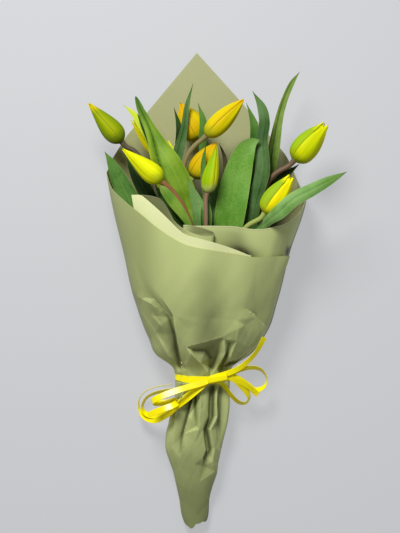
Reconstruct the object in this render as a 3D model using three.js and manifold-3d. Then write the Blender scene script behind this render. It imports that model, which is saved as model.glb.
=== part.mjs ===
// A bunch of ten tulips in a sheet of sage green wrapping paper, tied with yellow curling
// ribbon, lying on its back. Millimetres. +Z is up and is the front of the bunch, the
// flowers point to +Y, and the origin is under the middle of the bunch on the surface.

import * as THREE from 'three';
import { mergeVertices } from 'three/addons/utils/BufferGeometryUtils.js';
import Module from 'manifold-3d';

const wasm = await Module();
wasm.setup();

// Driving dimensions

const clearGap = 0.3;             // between pieces that touch
const paperThick = 0.8;           // wall of the wrap
const layerAtMouth = 2.0;         // from one layer of paper to the next, at the mouth
const layerAtTie = 1.4;           // and where the ribbon pulls them together
const tieY = -90;                 // the ribbon goes round here
const [tieLow, tieHigh] = [tieY - 5, tieY + 5];   // the wrap is straight between these
const cutEndY = -158;             // the stems are cut here, inside the tail of the wrap
const bundleEndY = -120;          // and run side by side from here to the tie
const stemRadius = 3.5;
const stemPitch = 7.6;            // from stem to stem in the tie
const pitchGrowth = 1.12;         // of the pitch where the stems leave the tie
const neckLength = 6;             // straight end of a stem under its bloom
const lowestStemZ = 6.6;          // middle of the lowest row of stems in the tie
const bundleX = -13;              // middle of the stems in the tie
const bladeThick = 0.8;           // of a leaf at its rib, and a little less at its edges
const claspRadius = stemRadius + bladeThick / 2 + 0.75;
const ribbonWide = 5.6;
const ribbonThick = 0.8;

// Colours

const paperFinish = finish(0x8f9863, 0.8);
const ribbonFinish = finish(0xf4e51e, 0.25);
const stemGreen = finish(0x9aa85a, 0.6);
const stemRed = finish(0x94683e, 0.6);
const leafDark = finish(0x607c40, 0.55);
const leafLight = finish(0x84a035, 0.55);
const petalYellow = finish(0xe6e011, 0.5);
const petalGreen = finish(0xb6c41a, 0.5);
const petalOrange = finish(0xe3b81c, 0.5);

function finish(color, roughness) {
  return new THREE.MeshStandardMaterial({ color, roughness, metalness: 0 });
}

// Small helpers

const vec = ([x, y, z]) => new THREE.Vector3(x, y, z);
const radians = THREE.MathUtils.degToRad;
const mix = THREE.MathUtils.lerp;

// Value at x of the line through [x, value] pairs
function along(pairs, x) {
  const last = pairs.length - 1;
  if (x <= pairs[0][0]) return pairs[0][1];
  if (x >= pairs[last][0]) return pairs[last][1];
  const next = pairs.findIndex(([at]) => at > x);
  const [x0, v0] = pairs[next - 1];
  const [x1, v1] = pairs[next];
  return mix(v0, v1, (x - x0) / (x1 - x0));
}

// Closed skin over a row of closed rings, all with the same even number of points. The two
// end rings are closed by strips from side to side, so a ring may also be a thin bent band.
// A looped row has no ends, because its last ring is joined to its first one.
function skin(rings, looped = false) {
  const size = rings[0].length;
  const position = rings.flat().flatMap((p) => [p.x, p.y, p.z]);
  const index = [];
  const bays = looped ? rings.length : rings.length - 1;
  for (let r = 0; r < bays; r += 1) {
    const next = ((r + 1) % rings.length) * size;
    for (let i = 0; i < size; i += 1) {
      const a = r * size + i;
      const b = r * size + (i + 1) % size;
      const c = next + i;
      const d = next + (i + 1) % size;
      index.push(a, b, c, b, d, c);
    }
  }
  const top = (rings.length - 1) * size;
  for (let i = 0; !looped && i + 1 < size / 2; i += 1) {
    const [a, b, c, d] = [i, i + 1, size - 2 - i, size - 1 - i];
    if (b !== c) index.push(a, c, b);
    index.push(a, d, c);
    if (b !== c) index.push(top + a, top + b, top + c);
    index.push(top + a, top + c, top + d);
  }
  const shape = new THREE.BufferGeometry();
  shape.setAttribute('position', new THREE.Float32BufferAttribute(position, 3));
  shape.setIndex(index);
  if (signedVolume(shape) < 0) shape.setIndex(index.reverse());
  return shape;
}

function signedVolume(shape) {
  const { index, attributes } = shape;
  const corner = [0, 1, 2].map(() => new THREE.Vector3());
  let volume = 0;
  for (let i = 0; i < index.count; i += 3) {
    corner.forEach((p, k) => p.fromBufferAttribute(attributes.position, index.getX(i + k)));
    volume += corner[0].dot(corner[1].cross(corner[2])) / 6;
  }
  return volume;
}

// Sideways and upward directions across a path that runs along heading
function crossFrame(heading, roll = 0) {
  const side = heading.clone().cross(new THREE.Vector3(0, 0, 1)).normalize();
  const up = side.clone().cross(heading).normalize();
  side.applyAxisAngle(heading, roll);
  up.applyAxisAngle(heading, roll);
  return { side, up };
}

function joinSolids(shapes) {
  const solids = shapes.map((shape) => {
    const bare = shape.clone();
    bare.deleteAttribute('normal');
    bare.deleteAttribute('uv');
    const merged = mergeVertices(bare, 1e-4);
    return new wasm.Manifold(new wasm.Mesh({
      numProp: 3,
      vertProperties: Float32Array.from(merged.attributes.position.array),
      triVerts: Uint32Array.from(merged.index.array),
    }));
  });
  const joined = solids.reduce((sum, solid) => sum.add(solid)).getMesh();
  const shape = new THREE.BufferGeometry();
  shape.setAttribute('position', new THREE.BufferAttribute(joined.vertProperties, 3));
  shape.setIndex(new THREE.BufferAttribute(joined.triVerts, 1));
  return shape;
}

const bunch = new THREE.Group();

function place(name, shape, material) {
  const mesh = new THREE.Mesh(shape, material);
  mesh.name = name;
  bunch.add(mesh);
}

// Wrap: one sheet that starts at a seam on the front right, goes over the front to the left,
// under the back, up the right side, and over the front again inside itself, where it is
// folded back twice. Its cross-section at y is a rounded oval that is flat underneath.

const wrapMiddle = [
  [-234, -20.3], [-211, -21.2], [-185, -20.5], [-161, -22], [-132, -17.2], [-113, -14.3],
  [tieLow, -13.2], [tieHigh, -13.2], [-78, -13], [-65, -12.1], [-45, -9], [-9, -9], [39, -8.5],
  [93, -6.4], [119, -8.5], [239, -18.7],
];
const wrapHalfWidth = [
  [-239, 10], [-234, 12.2], [-211, 15.7], [-185, 22], [-161, 28.1], [-132, 29.8], [-113, 28.2],
  [tieLow, 27.7], [tieHigh, 27.7], [-78, 29.5], [-65, 47], [-45, 59.5], [-9, 72.5], [39, 84],
  [93, 98.5], [119, 101],
];
const wrapHeight = [
  [-239, 15], [-211, 19], [-185, 27], [-161, 34], [-132, 37], [-113, 38], [tieLow, 37], [tieHigh, 37],
  [-78, 39], [-65, 49], [-45, 60], [-9, 78], [39, 95], [93, 107], [119, 109],
];
const wrapSideZ = [
  [-239, 6], [-161, 14], [tieLow, 17], [tieHigh, 17], [-65, 22], [-9, 35], [39, 42], [93, 48],
  [119, 46], [239, 12],
];
const wrapUnderside = [[-110, 0], [-98, 1.6], [-82, 1.6], [-70, 0]];   // lifted for the ribbon
const flatDip = 2;                // how far the oval is cut off underneath
const frontRoundness = 2 / 2.2;    // powers of the oval's front and back halves
const backRoundness = 2 / 3;
const creaseDepth = [
  [-239, 1.2], [-130, 1.6], [tieLow, 1], [tieHigh, 1], [-70, 1.6], [-30, 1.4], [30, 0.4], [80, 0],
];

function wallPoint(turn, y, inset) {
  const [c, s] = [Math.cos(turn), Math.sin(turn)];
  const power = s >= 0 ? frontRoundness : backRoundness;
  const sideZ = along(wrapSideZ, y);
  const reach = s >= 0 ? along(wrapHeight, y) - sideZ : sideZ + flatDip;
  const creases = Math.sin(5 * turn + 0.7) + 0.6 * Math.sin(11 * turn + 2);
  const crease = along(creaseDepth, y) * creases * (s >= 0 ? 1 : 1 + s);
  const across = (along(wrapHalfWidth, y) - inset) * Math.sign(c) * Math.abs(c) ** power;
  const rise = (reach - inset) * Math.sign(s) * Math.abs(s) ** power;
  const x = along(wrapMiddle, y) + across + crease * c;
  return new THREE.Vector3(x, y, Math.max(sideZ + rise + crease * s, along(wrapUnderside, y) + inset));
}

// Turn of a point x, y of the wrap's rim: 0 right, a quarter in front, a half left
function turnOf(x, y, behind) {
  const part = (x - along(wrapMiddle, y)) / along(wrapHalfWidth, y);
  const power = 1 / (behind ? backRoundness : frontRoundness);
  const cosine = Math.sign(part) * Math.min(1, Math.abs(part)) ** power;
  return behind ? 2 * Math.PI - Math.acos(cosine) : Math.acos(cosine);
}

// Legs of the sheet in order, each with its rim as [x, y] points and its depth in layers
const wrapLegs = [
  { // outer front, from the seam to the left side
    behind: false, from: 18, to: 180, depth: [[0, 0]],
    rim: [[71, 35], [34.5, 34], [24.5, 36], [-28.5, 44.3], [-42.5, 49], [-58.5, 60.5], [-71, 72.4],
      [-88.5, 88], [-103, 102], [-109.5, 119]],
  },
  { // back, with its corner high above the flowers
    behind: true, from: 190, to: 360, depth: [[340, 0], [360, 0.2]],
    rim: [[-109.5, 119], [-104.5, 134], [-90.5, 156], [-67.5, 182], [-18.7, 239], [25.5, 191],
      [65.5, 144], [73.5, 136], [80.5, 119], [86.5, 104], [92.4, 93]],
  },
  { // inner front, from the right side to the first fold
    behind: false, from: 10, to: 100, depth: [[10, 1], [40, 1.2], [70, 4]],
    rim: [[92, 91], [86.5, 79], [71.5, 69], [56.5, 63], [44.5, 61], [25.5, 63], [13.5, 64], [-27.5, 64]],
  },
  { // short way back to the right
    behind: false, from: 100, to: 80, depth: [[0, 3]],
    rim: [[-27.5, 64], [-10.5, 61], [-0.8, 56]],
  },
  { // to the left again, up to the fold that turns the pale side out
    behind: false, from: 80, to: 140, depth: [[0, 2]],
    rim: [[-0.8, 56], [-15.5, 56.5], [-35.5, 66], [-48.5, 81], [-56.5, 90], [-63.5, 93], [-75, 95]],
  },
  { // pale flap, back to the right under the outer front
    behind: false, from: 140, to: 60, depth: [[0, 1]],
    rim: [[-75, 95], [-52.5, 72.4], [-32.5, 57], [-9.5, 50], [24.5, 39], [34.5, 34.5]],
  },
];
const columnStep = 10;            // degrees of turn from column to column, the same in every layer
const foldReach = 0.8;            // from a fold's last column to the inside of its bend
const gathered = [-70, 20];       // heights between which the layers draw apart
const wrapRows = [-200, -165, -132, -108, tieLow, tieHigh, -76, -62, -36, 0];
const rimRows = [0.4, 0.75, 1];   // parts of the way from the last row up to the rim
const tail = { y: -232, slant: 7, lowTurn: 2.06 };   // its end slants, lowest at the front left

function tailEnd(turn) {
  return tail.y - tail.slant * Math.cos(turn - tail.lowTurn);
}

function wrapColumns() {
  return wrapLegs.flatMap((leg, order) => {
    const way = Math.sign(leg.to - leg.from);
    const rimByTurn = leg.rim.map(([x, y]) => [turnOf(x, y, leg.behind), y]);
    rimByTurn.sort(([p], [q]) => p - q);
    const count = Math.round(Math.abs(leg.to - leg.from) / columnStep) + 1;
    const columns = Array.from({ length: count }, (_, i) => {
      const angle = leg.from + way * i * columnStep;
      const turn = radians(angle);
      return { turn, depth: along(leg.depth, angle), rim: along(rimByTurn, turn), way };
    });
    const folded = wrapLegs[order + 1]?.from === leg.to;
    const last = columns.at(-1);
    return folded ? [...columns, { ...last, depth: last.depth - 0.5, nose: true }] : columns;
  });
}

// Points of a column on the two faces of the sheet at height y
function columnFaces({ turn, depth, way, nose }, y) {
  const inset = depth * mix(layerAtTie, layerAtMouth, THREE.MathUtils.smoothstep(y, ...gathered));
  if (nose) {
    // Bend of a fold, where the sheet's thickness lies along the turn
    const past = (reach) => turn + way * reach / along(wrapHalfWidth, y);
    const middle = inset + paperThick / 2;
    return [wallPoint(past(foldReach), y, middle), wallPoint(past(foldReach + paperThick), y, middle)];
  }
  const near = wallPoint(turn, y, inset);
  const far = wallPoint(turn, y, inset + paperThick);
  return way > 0 ? [near, far] : [far, near];
}

function wrapSheet() {
  const columns = wrapColumns();
  const heights = ({ turn, rim }) => [
    tailEnd(turn), ...wrapRows, ...rimRows.map((part) => mix(wrapRows.at(-1), rim, part)),
  ];
  const rowCount = 1 + wrapRows.length + rimRows.length;
  const rings = Array.from({ length: rowCount }, (_, row) => {
    const faces = columns.map((column) => columnFaces(column, heights(column)[row]));
    return [...faces.map(([first]) => first), ...faces.map(([, second]) => second).reverse()];
  });
  return skin(rings);
}

place('wrap_paper', wrapSheet(), paperFinish);

// Flowers: ten stems, each with its bloom. Slot is the stem's place in the tie, as a column
// and a row of the hexagonal pack, and route is its way from the tie to the bloom.

const flowers = [
  {
    slot: [-1.5, 1], route: [[-42, 0, 30], [-58, 70, 42], [-70, 122, 47], [-81, 140, 49]],
    base: [-93.5, 149, 50], tip: [-127, 188, 56], width: 22, spin: 20, petal: petalGreen, stem: stemRed,
  },
  {
    slot: [-1, 0], route: [[-34, 0, 15], [-42, 60, 25], [-43.5, 105, 32]],
    base: [-47, 131, 36], tip: [-82.5, 174, 44], width: 21, spin: 50, petal: petalYellow, stem: stemRed,
  },
  {
    slot: [-1, 2],
    route: [[-24, 0, 58], [-21, 50, 80], [-26.5, 77, 88], [-32.5, 89, 91], [-42.5, 100.5, 93]],
    base: [-52.5, 107.5, 95], tip: [-91.5, 140, 98], width: 21, spin: 35, petal: petalYellow, stem: stemRed,
  },
  {
    slot: [0, 0], route: [[-17, 0, 10], [-25, 75, 15]],
    base: [-30, 100, 18], tip: [-44, 150, 22], width: 20, spin: 10, petal: petalYellow, stem: stemGreen,
  },
  {
    slot: [1, 0], route: [[0, 0, 13], [-6, 90, 24], [-12, 132, 30]],
    base: [-16.5, 152, 32], tip: [-35.5, 190, 34], width: 27, spin: 70, petal: petalOrange, stem: stemGreen,
  },
  {
    slot: [-0.5, 1], route: [[-27, 0, 34], [-32, 70, 50], [-29, 100, 56]],
    base: [-22.5, 113, 59], tip: [1.5, 149, 64], width: 22, spin: 90, petal: petalOrange, stem: stemGreen,
  },
  {
    slot: [0, 2], route: [[-10, 0, 60], [-10, 50, 77], [-9.5, 71, 82]],
    base: [-8.5, 97, 84], tip: [1.5, 144, 88], width: 17, spin: 0, petal: petalGreen, stem: stemRed,
    thin: 2.6,
  },
  {
    slot: [0.5, 1],
    route: [[-17, 0, 44], [-28, 60, 58], [-34, 105, 66], [-31.5, 125, 67], [-26.5, 137, 68],
      [-19.5, 148, 69]],
    base: [-9.5, 154, 70], tip: [29, 190.6, 74], width: 21, spin: 40, petal: petalYellow, stem: stemRed,
  },
  {
    slot: [1, 2], route: [[4, 0, 52], [14, 36, 69], [30.5, 63.5, 80]],
    base: [48, 77, 85], tip: [75.5, 114, 89], width: 25, spin: 80, petal: petalYellow, stem: stemGreen,
  },
  {
    slot: [1.5, 1], route: [[18, 0, 32], [36, 60, 46], [55.5, 113, 56]],
    base: [78, 130, 60], tip: [111, 167, 65], width: 27, spin: 15, petal: petalGreen, stem: stemRed,
  },
];
const rowPitch = stemPitch * Math.sin(Math.PI / 3);

function stemPath({ slot, route, base, tip }) {
  const inTie = (y, spread) => [
    bundleX + slot[0] * stemPitch * spread, y, lowestStemZ + slot[1] * rowPitch * spread,
  ];
  const axis = vec(tip).sub(vec(base)).normalize();
  const neck = vec(base).addScaledVector(axis, -neckLength);
  const held = [inTie(cutEndY, 1), inTie(bundleEndY, 1), inTie(tieLow, 1), inTie(tieHigh, pitchGrowth)];
  const points = [...held, ...route].map(vec);
  return new THREE.CatmullRomCurve3([...points, neck, vec(base)], false, 'centripetal');
}

const stemSteps = 11;
const stemSides = 8;
const stemTaper = 0.88;            // radius under the bloom, to that at the cut end

function ringAround(centre, { side, up }, radius, count) {
  return Array.from({ length: count }, (_, i) => {
    const angle = (i / count) * 2 * Math.PI;
    return centre.clone()
      .addScaledVector(side, radius * Math.cos(angle))
      .addScaledVector(up, radius * Math.sin(angle));
  });
}

function stemShape(path, radius) {
  return skin(path.getSpacedPoints(stemSteps).map((centre, i) => {
    const part = i / stemSteps;
    const frame = crossFrame(path.getTangentAt(part));
    return ringAround(centre, frame, radius * mix(1, stemTaper, part), stemSides);
  }));
}

// Bloom: a closed bud whose three outer petals lie over the three inner ones. Each petal edge
// is a step in the surface, and the outer petals narrow to their tips. Each pair starts with
// the part of the way from the base to the tip.

const budProfile = [
  [0, 0.26], [0.06, 0.6], [0.16, 0.9], [0.3, 1], [0.5, 0.91], [0.72, 0.62], [0.88, 0.33], [1, 0.07],
];
const petalHalfAngle = [[0, 55], [0.5, 52], [0.8, 40], [1, 26]];
const petalEdge = [[0, 0.2], [0.12, 1.3], [0.85, 1.1], [1, 0.1]];   // height of the step in mm

function bloomRing(part, width) {
  const half = along(petalHalfAngle, part);
  const radius = along(budProfile, part) * width / 2;
  const low = radius - along(petalEdge, part);
  const keel = 1 + 0.05 * part;
  const across = [[-1, 0.98], [-0.5, 1], [0, keel], [0.5, 1], [1, 0.98]];
  const outer = across.map(([k, r]) => [k * half, r * radius]);
  const inner = [[half + 2, low], [60, low * keel], [118 - half, low]];
  const third = [...outer, ...inner];
  return [0, 120, 240].flatMap((start) => third.map(([angle, r]) => [start + angle, r]));
}

function bloomShape({ base, tip, width, spin }) {
  const axis = vec(tip).sub(vec(base));
  const heading = axis.clone().normalize();
  const start = vec(base).addScaledVector(heading, clearGap);
  const { side, up } = crossFrame(heading, radians(spin));
  const rings = budProfile.map(([part]) => bloomRing(part, width).map(([angle, radius]) => {
    const turn = radians(angle);
    return start.clone().addScaledVector(axis, part)
      .addScaledVector(side, radius * Math.cos(turn))
      .addScaledVector(up, radius * Math.sin(turn));
  }));
  return skin(rings);
}

const twoDigits = (i) => String(i + 1).padStart(2, '0');
const stemPaths = flowers.map(stemPath);
flowers.forEach((flower, i) => {
  place(`stem_${twoDigits(i)}`, stemShape(stemPaths[i], flower.thin ?? stemRadius), flower.stem);
  place(`bloom_${twoDigits(i)}`, bloomShape(flower), flower.petal);
});

// Leaves: each clasps its stem at the height joint, behind it (1) or in front of it (-1).
// A row is x, y, z, width and curl in degrees, which is the angle that the blade's section
// bends through. The blade narrows to a point after its last row.

const leaves = [
  {
    stem: 1, joint: 0, side: -1, finish: leafDark, tip: [-110.5, 139, 58],
    rows: [[-64, 38, 47, 15, 50], [-77, 66, 52, 17, 45], [-87, 92, 55, 20, 35], [-97, 113, 57, 16, 30],
      [-104.5, 129, 58, 8, 25]],
  },
  {
    stem: 1, joint: 44, side: -1, finish: leafDark, tip: [-88.5, 134, 60],
    rows: [[-58, 74, 51, 13, 70], [-66, 92, 54, 16, 45], [-77, 113, 57, 14, 30], [-84, 126, 58, 8, 20]],
  },
  {
    stem: 2, joint: 62, side: -1, finish: leafLight, tip: [-91.5, 185, 60],
    rows: [[-50, 92, 38, 10, 60], [-55, 112, 47, 10, 50], [-60, 131, 54, 9, 40], [-65.5, 151, 57, 8.6, 30],
      [-74, 165, 58, 8, 30], [-82, 177, 59, 5, 20]],
  },
  {
    stem: 3, joint: 12, side: 1, finish: leafLight, tip: [-78, 193, 66],
    rows: [[-24, 50, 67, 20, 100], [-27, 80, 68, 24, 70], [-33, 100, 72, 26, 60], [-45.5, 126, 74, 25, 60],
      [-55.5, 143, 72, 20, 60], [-64.5, 162, 69, 13, 60], [-71.5, 176, 67, 10, 60]],
  },
  {
    stem: 6, joint: 15, side: 1, finish: leafDark, tip: [-22.5, 207, 52],
    rows: [[-33, 60, 41, 14, 80], [-39, 95, 46, 14, 60], [-40, 126, 49, 12, 50], [-36.5, 141, 50, 11, 50],
      [-31.5, 161, 51, 7.5, 50], [-28.5, 185, 51, 5, 40]],
  },
  {
    stem: 5, joint: 60, side: -1, finish: leafDark, tip: [-17.6, 188, 52],
    rows: [[-6, 92, 34, 9, 70], [-9, 115, 39, 9, 60], [-12, 134, 43, 8, 50], [-13, 150, 48, 7.5, 40],
      [-12.5, 170, 51, 7, 40]],
  },
  {
    stem: 9, joint: 5, side: 1, finish: leafLight, tip: [44.3, 150, 71],
    rows: [[9, 34, 57, 22, 95], [11, 52, 61, 28, 70], [14, 75, 65, 31, 55], [18, 98, 67, 31, 50],
      [22.5, 118, 68, 28, 50], [27, 133, 69, 23, 50], [31.5, 142, 69.5, 18, 45], [37.5, 147.5, 70, 10, 40]],
  },
  {
    stem: 7, joint: 12, side: 1, finish: leafDark, tip: [5, 112, 60],
    rows: [[-8, 45, 62, 11, 90], [-4, 68, 62, 12, 60], [-1, 91, 61, 10, 50]],
  },
  {
    stem: 10, joint: 15, side: -1, finish: leafDark, tip: [36.7, 198.7, 65],
    rows: [[29, 42, 49, 12, 90], [34.5, 64, 57, 13, 50], [39.5, 91, 62, 13, 40], [46.5, 119, 65, 15, 30],
      [46, 150, 64, 12, 30], [48.5, 168, 64, 11, 30], [46, 182, 64, 9, 30]],
  },
  {
    stem: 10, joint: 38, side: 1, finish: leafDark, tip: [30.8, 188, 52],
    rows: [[34, 64, 39, 11, 90], [37, 90, 43, 10, 60], [40, 126, 48, 9, 50], [38.5, 150, 51, 8, 50],
      [38.5, 166, 52, 8, 40]],
  },
  {
    stem: 10, joint: -5, side: 1, finish: leafLight, tip: [84, 219, 52],
    rows: [[25, 25, 29, 13, 100], [36, 55, 33, 13, 60], [46, 85, 38, 12, 50], [55.5, 124, 44, 11, 50],
      [58.5, 143, 46, 12, 60], [64, 174, 48, 8, 60], [69, 191, 50, 6.5, 60], [76.5, 208, 51, 5, 50]],
  },
  {
    stem: 9, joint: 22, side: -1, finish: leafLight, tip: [128.4, 117.3, 93],
    rows: [[20, 42, 79, 12, 90], [29, 49, 81, 11, 50], [40, 56.5, 77.5, 10, 35], [46.5, 64.5, 81, 9, 25],
      [54, 71.5, 93, 11, 30], [62, 77.5, 101, 14, 35], [76, 90, 101, 14, 30], [92, 98.5, 99, 13, 30],
      [108, 107, 97, 10, 30], [120, 113, 95, 5, 20]],
  },
  {
    stem: 3, joint: 28, side: -1, finish: leafLight, tip: [-57, 103.5, 96],
    rows: [[-25, 49, 86.5, 11, 90], [-31.5, 59, 87, 8, 60], [-39, 80, 91, 8.5, 45], [-47.5, 94, 94.5, 8, 40]],
  },
  {
    stem: 7, joint: 38, side: 1, finish: leafDark, tip: [-28.5, 113, 80],
    rows: [[-13, 60, 71.5, 15, 80], [-15, 73, 75, 15, 55], [-19.5, 90, 77.5, 11.5, 45]],
  },
  {
    stem: 5, joint: 34, side: -1, finish: leafDark, tip: [3.5, 148, 50],
    rows: [[2, 72, 32, 10, 80], [5, 96, 39, 10, 50], [6.5, 120, 45, 8, 40]],
  },
  {
    stem: 10, joint: 82, side: 1, finish: leafDark, tip: [84, 127, 54],
    rows: [[59, 106, 50, 10, 70], [69, 115, 52, 9, 50]],
  },
];
const claspCurl = [200, 150];      // degrees round the stem, at the joint and above it
const claspLength = 13;            // from the first of these rows to the second
const claspFlare = 1.2;            // how much further out the second one stands
const bladeStep = 24;              // between rows, at most about this far

function pointAtY(path, y) {
  let [low, high] = [0, 1];
  for (let i = 0; i < 30; i += 1) {
    const middle = (low + high) / 2;
    if (path.getPoint(middle).y < y) low = middle;
    else high = middle;
  }
  return path.getPoint(low);
}

// Rows of the clasp: the rib stands off the stem by the clasp's radius
function claspRows({ stem, joint, side }) {
  return claspCurl.map((curl, i) => {
    const radius = claspRadius + claspFlare * i;
    const rib = pointAtY(stemPaths[stem - 1], joint + claspLength * i);
    rib.z -= side * radius;
    return { rib, width: radius * radians(curl), curl };
  });
}

function bladeRing({ rib, width, curl, side }, heading) {
  const frame = crossFrame(heading);
  const bend = radians(Math.max(curl, 1));
  const radius = width / bend;
  const across = [-1, -0.5, 0, 0.5, 1];
  const face = (offset) => across.map((k) => {
    const angle = k * bend / 2;
    const half = offset * (bladeThick - 0.2 * Math.abs(k)) / 2;
    return rib.clone()
      .addScaledVector(frame.side, (radius - half) * Math.sin(angle))
      .addScaledVector(frame.up, side * (radius - (radius - half) * Math.cos(angle)));
  });
  return [...face(1), ...face(-1).reverse()];
}

function leafShape(leaf) {
  const given = leaf.rows.map(([x, y, z, width, curl]) => ({ rib: vec([x, y, z]), width, curl }));
  const rows = [...claspRows(leaf), ...given, { rib: vec(leaf.tip), width: 1, curl: 10 }];
  const path = new THREE.CatmullRomCurve3(rows.map((row) => row.rib), false, 'centripetal');
  const last = rows.length - 1;
  const stops = rows.flatMap((row, i) => {
    if (i === last) return [i];
    const steps = Math.max(1, Math.round(row.rib.distanceTo(rows[i + 1].rib) / bladeStep));
    return Array.from({ length: steps }, (_, k) => i + k / steps);
  });
  return skin(stops.map((stop) => {
    const below = rows[Math.floor(stop)];
    const above = rows[Math.ceil(stop)];
    const part = stop % 1;
    const row = {
      rib: path.getPoint(stop / last),
      width: mix(below.width, above.width, part),
      curl: mix(below.curl, above.curl, part),
      side: leaf.side,
    };
    return bladeRing(row, path.getTangent(stop / last));
  }));
}

leaves.forEach((leaf, i) => place(`leaf_${twoDigits(i)}`, leafShape(leaf), leaf.finish));

// Ribbon: one flat strap tied round the wrap, with a knot in front, two loops and two cut
// tails to the right, and two loops and a curled tail to the left.

const knotAt = [-7.5, -90, 42];
const knotSize = [13, 11, 9.4];
const bandWide = 7;

function bandShape() {
  const count = 360 / columnStep;   // its corners lie over the wrap's own columns
  const corners = [[-1, 0], [1, 0], [1, 1], [-1, 1]];
  const rings = Array.from({ length: count }, (_, i) => corners.map(([across, out]) => {
    const point = wallPoint(radians(i * columnStep), tieY, -clearGap - out * ribbonThick);
    point.y = tieY + across * bandWide / 2;
    return point;
  }));
  return skin(rings, true);
}

// Each strand leaves the knot at a height of its own and touches no other
const strands = [
  [[-5, -89, 45], [6, -86, 44.5], [16, -82, 42], [25, -77, 39], [37.5, -65, 40], [49, -46, 47]],
  [[-5, -89.5, 43.4], [8, -86.5, 42], [24.5, -78.5, 36], [37.5, -76.6, 31], [49, -82, 27], [52.2, -91, 25],
    [46.5, -98, 26.5], [35, -97, 31], [20, -91, 37], [8, -89, 40.5], [-5, -89.5, 41.8]],
  [[-5, -90, 40.2], [7, -91.5, 39], [16, -94, 35], [24.5, -99, 28], [31.5, -104, 24], [33, -110, 21],
    [26, -114, 21], [18, -107, 29], [10, -100, 38.5]],
  [[-9, -91, 45], [-26.5, -97, 46], [-39, -101, 42], [-52, -106, 33], [-61, -112, 25], [-64, -118, 19],
    [-58, -123, 14], [-51, -121.5, 12], [-47.5, -116, 12.5], [-52, -111, 14], [-60, -112.5, 14.5],
    [-68, -121, 12]],
  [[-8.5, -92, 43.4], [-16, -98, 44], [-26.5, -107, 45], [-38, -118, 40.5], [-49, -126, 31],
    [-60.5, -132, 21], [-72.5, -128, 15], [-78, -117, 13], [-77.5, -108.5, 15], [-69.5, -100, 21],
    [-59.5, -96, 29], [-47, -94, 36], [-34, -92, 41], [-20, -91, 42.5], [-9, -90.5, 41.8]],
  [[-9, -91, 40.2], [-20, -93.5, 40], [-33, -98, 38], [-48, -101.5, 30], [-59, -104.5, 21], [-66, -109, 18],
    [-70, -115, 18]],
];

function strapShape(points) {
  const path = new THREE.CatmullRomCurve3(points.map(vec), false, 'centripetal');
  const steps = points.length * 2;
  const [w, t] = [ribbonWide / 2, ribbonThick / 2];
  const rings = path.getSpacedPoints(steps).map((centre, i) => {
    const { side, up } = crossFrame(path.getTangentAt(i / steps));
    return [[-w, -t], [w, -t], [w, t], [-w, t]].map(([a, b]) => (
      centre.clone().addScaledVector(side, a).addScaledVector(up, b)));
  });
  return skin(rings);
}

function knotShape() {
  const shape = new THREE.IcosahedronGeometry(1, 1);
  shape.scale(...knotSize.map((side) => side / 2));
  shape.translate(...knotAt);
  return shape;
}

place('ribbon', joinSolids([bandShape(), knotShape(), ...strands.map(strapShape)]), ribbonFinish);

export default bunch;
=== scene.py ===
import math

import bmesh
import bpy
import numpy as np
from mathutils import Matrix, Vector, geometry


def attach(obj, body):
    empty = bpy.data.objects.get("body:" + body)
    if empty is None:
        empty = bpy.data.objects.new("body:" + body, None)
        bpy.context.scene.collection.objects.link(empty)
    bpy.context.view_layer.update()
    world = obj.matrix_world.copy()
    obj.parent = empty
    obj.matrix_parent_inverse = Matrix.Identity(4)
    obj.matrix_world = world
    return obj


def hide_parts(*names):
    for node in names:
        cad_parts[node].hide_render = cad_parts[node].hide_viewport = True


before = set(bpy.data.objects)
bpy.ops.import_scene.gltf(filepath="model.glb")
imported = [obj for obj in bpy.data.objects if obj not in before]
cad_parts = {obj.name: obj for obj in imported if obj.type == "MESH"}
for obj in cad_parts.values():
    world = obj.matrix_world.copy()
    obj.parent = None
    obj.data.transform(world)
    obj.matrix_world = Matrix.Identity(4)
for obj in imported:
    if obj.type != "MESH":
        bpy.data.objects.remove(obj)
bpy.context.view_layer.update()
print("frame loaded")

# A bunch of ten tulips in sage green paper, lying on its back with its flowers towards +Y.
# Routes and sizes are in millimetres here and become metres when a mesh is made.

mm = 0.001
sharpFrom = math.radians(50)  # between two faces of a petal, leaf or stem
scene = bpy.context.scene


# Numbers along a line

def stepwise(pairs, x):
    table = np.array(pairs, float)
    return np.interp(x, table[:, 0], table[:, 1])


def smoothly(pairs, x):  # like stepwise, but with rounded corners
    table = np.array(pairs, float)
    at, value = table[:, 0], table[:, 1]
    slope = np.gradient(value, at)
    x = np.clip(x, at[0], at[-1])
    i = np.clip(np.searchsorted(at, x, side="right") - 1, 0, len(at) - 2)
    span = at[i + 1] - at[i]
    t = (x - at[i]) / span
    rise = value[i] * (1 + 2 * t) * (1 - t) ** 2 + value[i + 1] * t * t * (3 - 2 * t)
    return rise + span * t * (1 - t) * (slope[i] * (1 - t) - slope[i + 1] * t)


def alongRows(table, column, stop):  # a column of the table, smoothed; stop 1.5 is halfway from row 1 to 2
    return smoothly(np.stack([np.arange(len(table)), table[:, column]], 1), stop)


def ease(x, start, end):  # 0 at the start, 1 at the end, smooth between
    t = np.clip((x - start) / (end - start), 0, 1)
    return t * t * (3 - 2 * t)


def hump(x, middle, reach, power=2):  # 1 in the middle, falling to nothing on both sides
    return np.exp(-((x - middle) / reach) ** power)


def unit(v):
    return v / np.maximum(np.linalg.norm(v, axis=-1, keepdims=True), 1e-9)


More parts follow.
